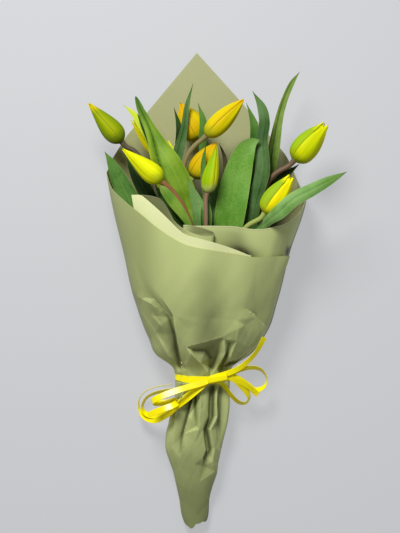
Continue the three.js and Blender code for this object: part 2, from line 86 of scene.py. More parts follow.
def routeThrough(points, perSpan):  # centripetal spline through the points
    p = np.array(points, float)
    p = np.vstack([2 * p[0] - p[1], p, 2 * p[-1] - p[-2]])
    t = np.arange(perSpan)[:, None] / perSpan
    out = []
    for a, b, c, d in zip(p, p[1:], p[2:], p[3:]):
        ab, bc, cd = (max(np.linalg.norm(q), 1e-4) ** 0.5 for q in (b - a, c - b, d - c))
        leave = bc * ((b - a) / ab - (c - a) / (ab + bc) + (c - b) / bc)
        arrive = bc * ((c - b) / bc - (d - b) / (bc + cd) + (d - c) / cd)
        curve = 2 * b - 2 * c + leave + arrive
        bend = -3 * b + 3 * c - 2 * leave - arrive
        out.append(b + leave * t + bend * t ** 2 + curve * t ** 3)
    return np.vstack(out + [p[-2:-1]])


def lengthsAlong(route):
    return np.concatenate([[0], np.cumsum(np.linalg.norm(np.diff(route, axis=0), axis=1))])


def evenly(route, count):  # the same route with its points spaced evenly
    gone = lengthsAlong(route)
    at = np.linspace(0, gone[-1], count)
    return np.stack([np.interp(at, gone, route[:, k]) for k in range(3)], axis=1)


def acrossRoute(route):  # unit headings, sideways directions and upward directions
    heading = unit(np.gradient(route, axis=0))
    side = unit(np.cross(heading, [0.0, 0.0, 1.0]))
    return heading, side, np.cross(side, heading)


# Meshes from arrays of points

def pieceOf(name, data):
    piece = bpy.data.objects.new(name, data)
    scene.collection.objects.link(piece)
    return piece


def addMarks(mesh, marks):  # numbers or directions on the points, for materials and trees
    for mark, values in marks.items():
        kind, key = ("FLOAT_VECTOR", "vector") if values.ndim == 2 else ("FLOAT", "value")
        mesh.attributes.new(mark, kind, "POINT").data.foreach_set(key, values.astype(np.float32).ravel())


def smoothFaces(mesh):
    mesh.polygons.foreach_set("use_smooth", [True] * len(mesh.polygons))


def pointsOf(mesh):
    points = np.empty(len(mesh.vertices) * 3)
    mesh.vertices.foreach_get("co", points)
    return points.reshape(-1, 3)


def faceOut(piece):  # turns a closed mesh right side out
    mesh = piece.data
    mesh.calc_loop_triangles()
    corners = np.empty(len(mesh.loop_triangles) * 3, int)
    mesh.loop_triangles.foreach_get("vertices", corners)
    a, b, c = pointsOf(mesh)[corners.reshape(-1, 3)].transpose(1, 0, 2)
    if np.einsum("ij,ij->i", a, np.cross(b, c)).sum() < 0:
        mesh.flip_normals()
    return piece


def thinPiece(name, front, back, marks):  # a leaf, petal or sheet from the grids of its two faces
    rows, columns = front.shape[:2]
    near = np.arange(rows * columns).reshape(rows, columns)
    far = near + rows * columns
    quads = [np.stack([near[:-1, :-1], near[:-1, 1:], near[1:, 1:], near[1:, :-1]], -1).reshape(-1, 4),
             np.stack([far[:-1, :-1], far[1:, :-1], far[1:, 1:], far[:-1, 1:]], -1).reshape(-1, 4)]
    for edge in (np.s_[0], np.s_[-1, ::-1], np.s_[::-1, 0], np.s_[:, -1]):
        a, b = near[edge], far[edge]
        quads.append(np.stack([a[1:], a[:-1], b[:-1], b[1:]], -1))
    points = np.vstack([front.reshape(-1, 3), back.reshape(-1, 3)])
    mesh = bpy.data.meshes.new(name)
    mesh.from_pydata((points * mm).tolist(), [], np.vstack(quads).tolist())
    across, up = np.meshgrid(np.linspace(0, 1, columns), np.linspace(0, 1, rows))
    uv = np.tile(np.stack([across, up], -1).reshape(-1, 2), (2, 1))
    layer = mesh.uv_layers.new(name="UVMap")
    corners = np.empty(len(mesh.loops), int)
    mesh.loops.foreach_get("vertex_index", corners)
    layer.data.foreach_set("uv", uv[corners].astype(np.float32).ravel())
    addMarks(mesh, {mark: np.tile(values.ravel(), 2) for mark, values in marks.items()})
    smoothFaces(mesh)
    mesh.set_sharp_from_angle(angle=sharpFrom)
    mesh.update()
    return faceOut(pieceOf(name, mesh))


def joined(pieces, name):
    with bpy.context.temp_override(active_object=pieces[0], selected_editable_objects=pieces):
        bpy.ops.object.join()
    pieces[0].name = name
    return pieces[0]


# Node trees

socketKinds = {int: "Int", float: "Float", tuple: "Color"}


class Tree:  # a node group; its named inputs have a starting value, or the kind of socket in words
    def __init__(self, name, kind, inputs, outputs):
        self.group = bpy.data.node_groups.new(name, kind)
        for label, start in inputs.items():
            worded = isinstance(start, str)
            socket = "NodeSocket" + (start if worded else socketKinds[type(start)])
            made = self.group.interface.new_socket(label, in_out="INPUT", socket_type=socket)
            if not worded:
                made.default_value = start
        for label, socket in outputs.items():
            self.group.interface.new_socket(label, in_out="OUTPUT", socket_type="NodeSocket" + socket)
        self.given = self.node("NodeGroupInput").outputs
        self.out = self.node("NodeGroupOutput").inputs

    def feed(self, socket, value):  # a value is a number, a colour, a word or another node's socket
        if isinstance(value, bpy.types.NodeSocket):
            self.group.links.new(value, socket)
        elif value is not None:
            socket.default_value = value

    def node(self, kind, values=None, **settings):  # nodes stand in rows of eight, as they are made
        node = self.group.nodes.new(kind)
        row, column = divmod(len(self.group.nodes) - 1, 8)
        node.location = (column * 220, -row * 320)
        for key, value in settings.items():
            setattr(node, key, value)
        for socket, value in (values or {}).items():
            self.feed(node.inputs[socket], value)
        return node

    def maths(self, way, a, b=None, clamp=False):
        return self.node("ShaderNodeMath", {0: a, 1: b}, operation=way, use_clamp=clamp).outputs[0]

    def plus(self, a, b):
        return self.maths("ADD", a, b)

    def minus(self, a, b):
        return self.maths("SUBTRACT", a, b)

    def times(self, a, b, clamp=False):
        return self.maths("MULTIPLY", a, b, clamp)

    def apart(self, a, b):
        return self.maths("ABSOLUTE", self.minus(a, b))

    def between(self, value, low, high, start, end, kind="LINEAR"):  # from start at low to end at high
        values = {0: value, 1: low, 2: high, 3: start, 4: end}
        return self.node("ShaderNodeMapRange", values, interpolation_type=kind).outputs[0]

    def ramp(self, value, low, high, end=1.0):  # 0 at low, end at high, smooth between
        return self.between(value, low, high, 0.0, end, "SMOOTHSTEP")

    def mix(self, part, low, high, way="MIX"):
        values = {0: part, 6: low, 7: high}
        return self.node("ShaderNodeMix", values, data_type="RGBA", blend_type=way).outputs[2]

    def shaded(self, colour, tone):  # a colour times a number
        grey = self.node("ShaderNodeCombineColor", {0: tone, 1: tone, 2: tone})
        return self.mix(1.0, colour, grey.outputs[0], "MULTIPLY")

    def noise(self, vector, scale, detail):  # scale has a number for each direction
        mapping = self.node("ShaderNodeMapping", {"Vector": vector, "Scale": scale})
        values = {"Vector": mapping.outputs[0], "Scale": 1, "Detail": detail}
        return self.node("ShaderNodeTexNoise", values).outputs[0]

    def mark(self, name):  # a number that the mesh carries
        return self.node("ShaderNodeAttribute", attribute_name=name).outputs["Fac"]

    def spot(self):  # the place on the piece
        return self.node("ShaderNodeTexCoord").outputs["Object"]

    def sheetPlace(self):  # the UV map, then how far across and how far along
        uv = self.node("ShaderNodeUVMap", uv_map="UVMap").outputs[0]
        split = self.node("ShaderNodeSeparateXYZ", {0: uv}).outputs
        return uv, split[0], split[1]

    def gives(self, **values):  # joins the group's outputs
        for label, value in values.items():
            self.feed(self.out[label], value)
        return self.group

    def givesMesh(self, first, *steps):  # geometry through nodes in turn, then realised and painted
        realize = self.node("GeometryNodeRealizeInstances")
        paint = self.node("GeometryNodeSetMaterial", {"Material": self.given["Material"]})
        for step in (*steps, realize, paint):
            self.feed(next(socket for socket in step.inputs if socket.type == "GEOMETRY"), first)
            first = next(socket for socket in step.outputs if socket.type == "GEOMETRY")
        return self.gives(Geometry=first)


def shaderTree(name, inputs, *more):
    outputs = {"Colour": "Color", "Height": "Float"} | dict.fromkeys(more, "Float")
    return Tree(name, "ShaderNodeTree", inputs, outputs)


def meshTree(name, inputs):
    tree = Tree(name, "GeometryNodeTree", {"Geometry": "Geometry", **inputs, "Material": "Material"},
                {"Geometry": "Geometry"})
    tree.group.is_modifier = True
    return tree


def colourFrom(r, g, b):  # screen colour, 0 to 255, to a shader colour
    straight = [v / 255 / 12.92 if v < 10.3 else ((v / 255 + 0.055) / 1.055) ** 2.4 for v in (r, g, b)]
    return (*straight, 1.0)


def finishOf(name, group, values, look):  # look is the piece's dictionary, which says how it shines
    material = bpy.data.materials.new(name)
    material.use_nodes = True
    nodes, link = material.node_tree.nodes, material.node_tree.links.new
    shader = nodes["Principled BSDF"].inputs
    shader["Roughness"].default_value = look.get("roughness", 0.5)
    shader["Specular IOR Level"].default_value = look["specular"]
    pattern = nodes.new("ShaderNodeGroup")
    pattern.node_tree = group
    pattern.location = (-500, 0)
    for key, value in values.items():
        pattern.inputs[key].default_value = colourFrom(*value) if isinstance(value, tuple) else value
    link(pattern.outputs["Colour"], shader["Base Color"])
    if "Roughness" in pattern.outputs:
        link(pattern.outputs["Roughness"], shader["Roughness"])
    relief = nodes.new("ShaderNodeBump")
    relief.location = (-250, -300)
    relief.inputs["Strength"].default_value = look["bump"]
    relief.inputs["Distance"].default_value = look["bumpDepth"]
    link(pattern.outputs["Height"], relief.inputs["Height"])
    link(relief.outputs["Normal"], shader["Normal"])
    return material


def buildPetalFlush():
    tree = shaderTree("petalFlush", {
        "Base": (0.3, 0.35, 0.05, 1), "Rib": (0.5, 0.5, 0.02, 1), "Edge": (0.8, 0.7, 0.01, 1),
        "Tip": (0.8, 0.5, 0.01, 1), "Rib Width": 0.6, "Green Petal": -1.0, "Green": (0.2, 0.35, 0.03, 1),
        "Seam": 0.5})
    given = tree.given
    uv, across, up = tree.sheetPlace()
    centred = tree.apart(tree.times(across, 2), 1)  # 0 on the rib, 1 at the edges
    cloud = tree.noise(tree.spot(), (60, 60, 60), 3)
    veins = tree.noise(uv, (26, 1.2, 1), 4)
    wander = tree.times(tree.minus(cloud, 0.5), 0.5)
    spread = tree.ramp(tree.plus(centred, wander), 0.02, given["Rib Width"])
    body = tree.mix(spread, given["Rib"], given["Edge"])
    chosen = tree.maths("LESS_THAN", tree.apart(tree.mark("petal"), given["Green Petal"]), 0.5)
    body = tree.mix(tree.times(chosen, 0.85), body, given["Green"])
    # painted shade along each petal's edges, where the petals meet
    seam = tree.times(tree.ramp(centred, 0.93, 0.99), given["Seam"])
    body = tree.mix(seam, body, (0.09, 0.1, 0.004, 1))
    body = tree.mix(tree.ramp(tree.plus(up, wander), 0.26, 0.0), body, given["Base"])
    body = tree.mix(tree.ramp(tree.plus(up, wander), 0.7, 1.0), body, given["Tip"])
    return tree.gives(Colour=tree.shaded(body, tree.between(veins, 0.3, 0.75, 1.1, 0.84)), Height=veins)


def buildLeafBlade():
    tree = shaderTree("leafBlade", {
        "Deep": (0.06, 0.13, 0.02, 1), "Fresh": (0.15, 0.3, 0.03, 1), "Tip": (0.15, 0.3, 0.03, 1),
        "Waxy Bloom": 0.25, "Ribbing": 1.0, "Mottle": 0.2}, "Roughness")
    given = tree.given
    uv, across, up = tree.sheetPlace()
    spot = tree.spot()
    cloud = tree.noise(spot, (38, 38, 38), 3)
    ribs = tree.noise(uv, (34, 0.8, 1), 3)
    fine = tree.noise(uv, (110, 16, 1), 2)
    grain = tree.noise(spot, (480, 480, 480), 5)
    ribPart = tree.times(tree.minus(ribs, 0.5), given["Ribbing"])
    grainPart = tree.times(tree.minus(grain, 0.5), given["Mottle"])
    mixed = tree.plus(tree.plus(tree.times(ribPart, 0.55), grainPart), cloud)
    body = tree.mix(tree.ramp(mixed, 0.22, 0.74), given["Deep"], given["Fresh"])
    centred = tree.apart(across, 0.5)  # 0 on the rib, a half at the edges
    pale = tree.mix(0.3, given["Fresh"], (0.45, 0.55, 0.15, 1))
    body = tree.mix(tree.times(tree.ramp(centred, 0.465, 0.5), 0.6), body, pale)
    rib = tree.times(tree.ramp(centred, 0.03, 0.004), given["Ribbing"])
    body = tree.mix(tree.times(rib, 0.14), body, pale)
    # painted light and shade about a leaf's fold: a lit strip on one side, a dark line in the fold and shade
    # beside it
    foldShading = tree.mark("foldShading")
    body = tree.mix(tree.times(foldShading, 0.6, clamp=True), body, pale)
    body = tree.mix(tree.times(foldShading, -0.8, clamp=True), body, (0.012, 0.035, 0.004, 1))
    body = tree.mix(tree.ramp(up, 0.72, 1.0), body, given["Tip"])
    dust = tree.ramp(tree.plus(cloud, tree.times(fine, 0.4)), 0.55, 1.0)
    body = tree.mix(tree.times(dust, given["Waxy Bloom"]), body, (0.26, 0.37, 0.22, 1))
    return tree.gives(Colour=body, Height=tree.plus(ribs, tree.times(fine, 0.5)),
                      Roughness=tree.between(cloud, 0, 1, 0.38, 0.56))


def buildPaperFibre():
    tree = shaderTree("paperFibre", {
        "Outside": (0.28, 0.32, 0.13, 1), "Inside": (0.3, 0.32, 0.18, 1), "Reverse": (0.6, 0.64, 0.38, 1),
    }, "Roughness")
    given = tree.given
    spot = tree.spot()
    side = tree.mark("reverse")
    # the reverse face as a shaded copy on the back's inside and a lit copy on the flap: painted shade and
    # light
    body = tree.mix(tree.times(side, 2.5, clamp=True), given["Outside"], given["Inside"])
    body = tree.mix(tree.ramp(side, 0.4, 1.0), body, given["Reverse"])
    # painted shade where little light gets in, as pocketShade gives it
    body = tree.mix(tree.times(tree.mark("paintedShade"), 0.8), body, (0.045, 0.045, 0.016, 1))
    crease = tree.mark("crease")
    # painted highlight along ridge creases, then painted shade in valley creases
    body = tree.mix(tree.times(crease, 0.5, clamp=True), body, given["Reverse"])
    body = tree.mix(tree.times(crease, -0.75, clamp=True), body, (0.03, 0.034, 0.01, 1))
    cloud = tree.noise(spot, (9, 9, 9), 3)
    fibre = tree.noise(spot, (900, 240, 900), 4)
    tone = tree.between(tree.plus(tree.times(cloud, 0.7), tree.times(fibre, 0.3)), 0.3, 0.7, 0.93, 1.06)
    return tree.gives(Colour=tree.shaded(body, tone), Height=fibre,
                      Roughness=tree.between(fibre, 0, 1, 0.42, 0.6))


def buildStemFlush():
    tree = shaderTree("stemFlush", {
        "Low": (0.2, 0.3, 0.06, 1), "High": (0.3, 0.14, 0.07, 1), "Flush From": 0.7})
    given = tree.given
    cloud = tree.noise(tree.spot(), (120, 30, 120), 3)
    wander = tree.times(tree.minus(cloud, 0.5), 0.35)
    start = given["Flush From"]
    flush = tree.ramp(tree.plus(tree.mark("along"), wander), start, tree.plus(start, 0.22))
    return tree.gives(Colour=tree.mix(flush, given["Low"], given["High"]), Height=cloud)


def buildRibbonGloss():
    tree = shaderTree("ribbonGloss", {"Face": (0.9, 0.78, 0.01, 1), "Shaded": (0.75, 0.6, 0.01, 1)})
    given = tree.given
    spot = tree.spot()
    cloud = tree.noise(spot, (70, 70, 70), 2)
    lines = tree.noise(spot, (1400, 1400, 1400), 2)
    return tree.gives(Colour=tree.mix(tree.ramp(cloud, 0.4, 0.75), given["Face"], given["Shaded"]),
                      Height=tree.plus(cloud, tree.times(lines, 0.05)))


petalFlush = buildPetalFlush()
leafBlade = buildLeafBlade()
paperFibre = buildPaperFibre()
stemFlush = buildStemFlush()
ribbonGloss = buildRibbonGloss()
print("shader groups built")


# Wrap: one sheet that starts at a seam on the front right, goes over the front to the left,
# under the back, up the right side and over the front again inside itself, where it is
# folded back twice. Turn 0 is the right side, a quarter is the front, a half is the left.

wrap = {
    "thick": 0.35,
    "tieY": -90,
    # along y: x of the wall's middle, half its width, and z of its top, its sides and its underside
    "middle": [[-234, -20.3], [-211, -21.2], [-185, -20.5], [-161, -22], [-132, -17.2], [-113, -14.3],
               [-95, -13.2], [-85, -13.2], [-78, -13], [-65, -12.1], [-45, -9], [-9, -9], [39, -8.5],
               [93, -6.4], [119, -8.5], [239, -18.7]],
    "halfWidth": [[-239, 10], [-234, 12.2], [-211, 15.7], [-185, 22], [-161, 28.1], [-132, 29.8],
                  [-113, 28.2], [-95, 27.7], [-85, 27.7], [-78, 29.5], [-65, 47], [-45, 59.5], [-9, 72.5],
                  [39, 84], [93, 98.5], [119, 101]],
    "height": [[-239, 15], [-211, 19], [-185, 27], [-161, 34], [-132, 37], [-113, 38], [-95, 37],
               [-85, 37], [-78, 39], [-65, 49], [-45, 60], [-9, 78], [39, 95], [93, 107], [119, 109]],
    "sideZ": [[-239, 6], [-161, 14], [-95, 17], [-85, 17], [-65, 22], [-9, 35], [39, 42], [93, 48],
              [119, 46], [239, 12]],
    "underside": [[-110, 0], [-98, 1.6], [-82, 1.6], [-70, 0]],
    "flatDip": 2,  # the round of the back would go this far below the floor, and is flattened there
    "closeRows": (-216, -24, 1.25),  # rows of points from this y to this one, and the step between
    "lowRows": 6,  # rows below those, in the tail
    "highRows": 24,  # rows above those, up to the last few at the rim
    "bendSteps": 8,  # round each fold
    "swell": 2.2,  # broad soft waves down the front
    "foldDepth": 1.25,  # how far the creases below stand in and out, as a share of what they say
    "frontPower": 2 / 2.2,  # 1 is a round wall, less is a squarer one
    "backPower": 2 / 3,
    "layerAtMouth": 2.0,  # from one layer to the next
    "layerAtTie": 0.95,
    "innerGap": 1.5,  # the layers inside lie this much deeper under the creases
    "tailEnd": [[-1, -237], [-0.5, -242], [0.25, -236.4], [1, -234.6]],  # from its left corner to its right
    "pleats": [[-239, 0.05], [-200, 0.15], [-160, 0.5], [-120, 0.9], [-95, 0.9], [-85, 0.9], [-70, 1.2],
               [-30, 0.7], [20, 0.2], [60, 0]],
    "crumple": [[-239, 0.15], [-190, 0.3], [-120, 0.35], [-95, 0.2], [-85, 0.2], [-70, 0.4], [-40, 0.3],
                [0, 0.15], [40, 0.05]],
    "seamLift": 3.4,  # the seam's upper corner stands off the layer under it
    # the outside's own colour, then the reverse face in painted shade and lit; the lit one also gives painted
    # highlights on ridges and rims
    "colours": {"Outside": (190, 200, 131), "Inside": (152, 153, 107), "Reverse": (222, 227, 168)},
    "specular": 0.3,
    "bump": 0.25,
    "bumpDepth": 0.0001,
    "flat": (0.5, 0.42),  # metres, before it was wrapped
    "creaseAngle": 17,  # facets that meet at more degrees than this have a sharp edge
    "creaseReach": 0.51,  # share of the grid's pitch over which a point is drawn onto a crease
}

# Legs of the sheet: degrees of turn, step between columns, depth in layers, and the rim as seen
# from above. Pale is how much of the lit reverse colour, rather than the shaded inside colour, the
# paper has there: painted light on the flap that faces up, painted shade on the back's inside.
wrapLegs = [
    # over the front
    {"turn": (18, 180), "step": 0.95, "depth": [[0, 0], [360, 0]],
     "rim": [[71, 35], [34.5, 34], [24.5, 36], [-28.5, 45.4], [-42.5, 52.4], [-58.5, 63.2], [-71, 73.6],
             [-88.5, 88], [-103, 102], [-109.5, 119]]},
    # under the back
    {"turn": (181, 369), "step": 3.1, "behind": True, "depth": [[340, 0], [360, 0.2]], "pale": 0.4,
     "rim": [[-109.5, 119], [-104.5, 134], [-91, 157], [-68, 184], [-18.7, 243], [26, 193.5],
             [66, 145.5], [73.5, 136], [80.5, 119], [86.5, 104], [92.4, 93]]},
    # inside the front
    {"turn": (10, 105), "step": 3, "depth": [[10, 1], [40, 1.6], [66, 5.6]],
     "rim": [[92, 91], [86.5, 79], [75.6, 69], [63, 64.2], [49, 61.2], [34.7, 62], [24, 63.7], [4, 64.4],
             [-27.5, 64.5]]},
    # folded back to the right
    {"turn": (105, 89), "step": 2.2, "depth": [[89, 4.6], [105, 5]],
     "rim": [[-32, 65.5], [-27.5, 65], [-14, 62.4], [-8, 60.6], [-3.5, 58.4], [4, 56]]},
    # and to the left
    {"turn": (89, 140), "step": 2, "depth": [[89, 2.2], [140, 2]],
     "rim": [[4, 53], [-3.5, 53.4], [-14, 54.1], [-22.2, 56.5], [-31, 60.4], [-41.7, 68.5], [-46, 75.8],
             [-52.4, 86.5], [-57, 91], [-64.8, 93.6], [-75, 95]]},
    # the pale flap, to the right again
    {"turn": (140, 60), "step": 3, "depth": [[0, 1], [360, 1]], "pale": 1.0,
     "rim": [[-75, 95], [-62, 84.2], [-50.6, 73.8], [-41, 64.4], [-32.8, 57.2], [-24, 53.8], [-15, 51.6],
             [8, 45.2], [24, 39.5], [34, 35.3]]},
]

# The paper buckles into flat facets between these creases. A crease is a line of corners, each
# x, y as seen from above and how far it stands out (+) or in (-).
creases = [
    # above the tie, on the left
    [(-80.5, -10, 0.8), (-70, -26, 2.2), (-58.5, -42, 3.2), (-46, -63, 3), (-35.5, -82, 1.4)],
    [(-69.5, 3, -0.3), (-60, -9, -1.4), (-46.5, -26, -3.6), (-41.5, -42, -7), (-39, -58, -7.5),
     (-35.5, -76, -4.5)],
    [(-64.5, 6, 0.1), (-55, -5, 0.4), (-42, -23.4, 0.9), (-39.3, -41.5, 1.8), (-36.8, -57.5, 1.4),
     (-33.2, -76, 0.8)],
    [(-78, -4, 2), (-61.5, -12.5, 2.4)], [(-62, -24, 2.6), (-53, -34, 3)], [(-50, -43, 0.4), (-45, -56, 0)],
    # above the tie, in the middle
    [(-28.5, -56, 1.6), (-12, -51, 2.4), (5, -46, 3.4)], [(5.8, -48.5, 0.8), (2, -62, -3.5), (-3.5, -77, -5)],
    [(8.4, -48, 2.8), (8, -62, 3.6), (0.5, -78, 1.6)], [(-22, -59, -2.2), (-10, -59.5, -3), (-4.5, -67, -4)],
    [(-28.5, -67, 1.5), (-24, -62, 4), (-15, -72, 4.2), (-8, -81, 2.6)], [(-26, -71, 2.6), (-25, -80, 0.8)],
    [(-26, -38, 0.5), (-16, -32, 0.9), (-4, -27.5, 0.3)],
    # above the tie, on the right
    [(14, -52, -1.6), (12, -63, -3.2), (6, -78, -4.8)], [(21.5, -37, 2.6), (20, -50, 2.8), (13, -68, 2.4)],
    [(28, -16, -0.4), (40, -22.8, -1.5)], [(20, -28.5, 0.5), (39, -25.8, 1.3), (29, -34, 0.2)],
    [(11, -76, -3), (20, -72, -5), (31, -65.5, -4)],
    [(42, -42, 3), (33, -57, 1.8), (20, -73, 1.4)], [(52, -37, -0.6), (43, -57, -1.6), (30, -71, -3)],
    # below the tie, from right to left
    [(9.5, -98, 1.6), (10.5, -115, 2.2), (9.5, -131, 1.8), (8, -148, 1), (5, -163, 0.8), (2.5, -174, 0.4)],
    [(5, -98, -2.4), (4.5, -115, -3.4), (4, -133, -2.6), (3.5, -150, -0.6)],
    [(0.6, -97, 2.2), (0, -112, 2.8), (0.6, -126, 2.8), (-5.4, -140, 2.6), (-2.2, -159, 2.8),
     (-4.4, -172, 2.4), (-1.9, -182.6, 2), (-15.4, -193, 0.4)],
    [(-2.2, -97, -5), (-3.1, -127, -5.6), (-8.9, -139.5, -5.2), (-5.6, -160, -4.6), (-9.6, -169, -3.4),
     (-11, -177, -2), (-15.4, -193, 0.4)],
    [(-6.2, -97, -1.6), (-7.4, -127, -0.6), (-13, -139.5, 0.4), (-9.8, -160, 0.4), (-13.4, -169, 0.4)],
    [(-11, -97, 0.6), (-12.5, -118, 0.9)], [(-14, -98, 2.4), (-15, -118, 3), (-17, -139, 2.6)],
    [(-20.5, -97, -3.4), (-20.8, -115, -3.6), (-18.6, -136, -0.8)],
    [(-24, -107, -4.4), (-29, -127, -4.8), (-33.8, -145, -3.8), (-35.4, -162, -1)],
    [(-22, -107, 1.2), (-26.8, -126, 1.8), (-31.6, -144, 1.4), (-33.4, -160, 0.6), (-35.6, -170, 0.1)],
    [(-5, -212, -0.2), (-18, -226, -0.6)],
    [(-29, -98, 1.2), (-34, -112, 2.4), (-38, -128, 2.6), (-42, -145, 2), (-43.5, -158, 1.4)],
    [(-33, -98, -2.4), (-39.5, -113, -1.4), (-42, -126, -2)], [(-20, -152, 0.8), (-22, -175, 0.3)],
]


def facetNet():  # corners, how far each stands out, and the triangles between, edged by the creases
    spots, edges = [], []
    for crease in creases:
        edges += [(len(spots) + i, len(spots) + i + 1) for i in range(len(crease) - 1)]
        spots += crease
    # rows of level corners: above the creases, at the tie, down both sides and under the tail
    spots += [(x, y, 0) for x in range(-120, 121, 20) for y in (30, 60, 150)]
    spots += [(x, y, 0) for x in range(-55, 31, 5) for y in (-86, -94)]
    for side in (-1, 1):
        spots += [(side * (30 + 4 * abs(y + 88) ** 0.62) - 13, y, 0) for y in range(-240, 31, 15)]
    spots += [(x, y, 0) for x in range(-60, 41, 10) for y in (-250, -215)]
    flat = [Vector((float(x), float(y))) for x, y, _ in spots]
    kept, _, triangles, origin, _, _ = geometry.delaunay_2d_cdt(flat, edges, [], 0, 1e-5)
    known = {i: spots[source[0]][2] for i, source in enumerate(origin) if source}
    out = np.array([known.get(i, 0) for i in range(len(kept))])
    return np.array(kept), out, np.array(triangles)


netSpots, netOut, netTriangles = facetNet()


def facetLift(x, y):  # height of the facets at x, y
    lift = np.zeros_like(x)
    for triangle in netTriangles:
        height = netOut[triangle]
        if not height.any():
            continue
        (ax, ay), (bx, by), (cx, cy) = netSpots[triangle]
        size = (bx - ax) * (cy - ay) - (cx - ax) * (by - ay)
        b = ((x - ax) * (cy - ay) - (cx - ax) * (y - ay)) / size
        c = ((bx - ax) * (y - ay) - (x - ax) * (by - ay)) / size
        inside = (b >= -1e-9) & (c >= -1e-9) & (b + c <= 1 + 1e-9)
        lift = np.where(inside, height[0] * (1 - b - c) + height[1] * b + height[2] * c, lift)
    return lift


def facets(x, y):  # small facets everywhere, as in handled paper
    total = 0 * x
    for angle, size, shift in ((0.35, 17, 0.2), (1.25, 23, 1.1), (2.2, 13, 2.3), (2.85, 29, 0.7)):
        run = x * math.cos(angle) + y * math.sin(angle) * 0.45
        bent = run / size + shift + 0.25 * np.sin(y / 21 + shift * 3)
        total = total + (np.abs((bent % 1) - 0.5) * 4 - 1) * size / 20
    return total


def flatX(turn, y, inset):  # x on the wall before pleats and creases
    c = np.cos(turn)
    power = np.where(np.sin(turn) >= 0, wrap["frontPower"], wrap["backPower"])
    reach = smoothly(wrap["halfWidth"], y) - inset
    return smoothly(wrap["middle"], y) + reach * np.sign(c) * np.abs(c) ** power


def wallPoint(turn, y, inset, creased=True):  # a point of the wall, so deep under its outside
    c, s = np.cos(turn), np.sin(turn)
    power = np.where(s >= 0, wrap["frontPower"], wrap["backPower"])
    sideZ = smoothly(wrap["sideZ"], y)
    reach = np.where(s >= 0, smoothly(wrap["height"], y) - sideZ, sideZ + wrap["flatDip"])
    swing = np.where(s >= 0, 1, 1 + s)
    waves = np.sin(5 * turn + 0.7) + 0.6 * np.sin(11 * turn + 2)
    sharp = 1 - 2 * np.abs(((17 * turn + 2.5 * np.sin(3 * turn)) / (2 * math.pi)) % 1 - 0.5) * 2
    out = smoothly(wrap["pleats"], y) * (waves * 0.5 + sharp * 0.5) * swing
    x = flatX(turn, y, inset)
    z = sideZ + (reach - inset) * np.sign(s) * np.abs(s) ** power
    if creased:
        crumple = smoothly(wrap["crumple"], y) * swing * (0.35 + 0.65 * np.abs(s))
        out = out + facets(x + 40 * (s < 0), y) * crumple
        out = out + wrap["foldDepth"] * facetLift(x, y + 0 * x) * np.clip(s * 2, 0, 1)
        broad = wrap["swell"] * np.cos((x + 20) * 2 * math.pi / 52) * hump(x, 2, 45)
        out = out + broad * np.clip(s, 0, 1) * ease(y, 58, 15) * ease(y, -75, -40)
    x = x + out * c
    z = np.maximum(z + out * s, stepwise(wrap["underside"], y) + inset)
    return np.stack([x, y, z], -1)


def turnOf(x, y, behind):  # the turn at which the wall stands at x
    part = (x - smoothly(wrap["middle"], y)) / smoothly(wrap["halfWidth"], y)
    power = 1 / (wrap["backPower"] if behind else wrap["frontPower"])
    turn = np.arccos(np.sign(part) * np.minimum(1, np.abs(part)) ** power)
    return 2 * math.pi - turn if behind else turn


def rimHeight(leg, turn):  # height of the rim at a turn
    rim = np.array(leg["rim"], float)
    behind = "behind" in leg
    if behind:  # straight edges and a sharp corner
        gone = np.arange(len(rim))
        at = np.linspace(0, gone[-1], 401)
        line = np.stack([np.interp(at, gone, rim[:, k]) for k in (0, 1)], 1)
    else:
        line = routeThrough(np.column_stack([rim, 0 * rim[:, 0]]), 12)[:, :2]
    at = turnOf(line[:, 0], line[:, 1], behind)
    order = np.argsort(at)
    return np.interp(turn, at[order], line[order, 1])


def wrapColumns():  # turn, depth, rim, way, paleness and whether outermost, column by column
    legs = []
    for leg in wrapLegs:
        start, end = (math.radians(a) for a in leg["turn"])
        turns = np.linspace(start, end, round(abs(leg["turn"][1] - leg["turn"][0]) / leg["step"]) + 1)
        if "behind" in leg:  # closer together under the middle, where the corner of the sheet is
            part = np.linspace(-1, 1, len(turns) // 2 * 2 + 1)
            swing = np.arcsin(np.abs(part) ** 1.5 * math.sin((end - start) / 2))
            turns = np.clip(1.5 * math.pi + np.sign(part) * swing, start, end)
        way = 1 if end > start else -1
        depth = stepwise(leg["depth"], np.degrees(turns))
        about = (way, leg.get("pale", 0.0), leg is wrapLegs[0])
        legs.append([(*column, *about) for column in zip(turns, depth, rimHeight(leg, turns))])
    columns = list(legs[0])
    for order, far in enumerate(legs[1:]):
        if wrapLegs[order]["turn"][1] != wrapLegs[order + 1]["turn"][0]:
            columns += far
            continue
        turn, depth, rim, way, pale, outer = columns.pop()  # a fold, with a round bend
        _, newDepth, newRim, _, newPale, _ = far[0]
        wide = (depth - newDepth) * wrap["layerAtMouth"] / 2
        for step in range(1, wrap["bendSteps"]):
            swing = math.pi * step / wrap["bendSteps"]
            part = 0.5 - 0.5 * math.cos(swing)
            reach = (0.6 + 1.1 * wide) * math.sin(swing) / 80 * way
            columns.append((turn + reach, depth + part * (newDepth - depth), rim + part * (newRim - rim),
                            way * math.cos(swing), pale + part * (newPale - pale), outer))
        columns += far[1:]
    return np.array(columns, float).T


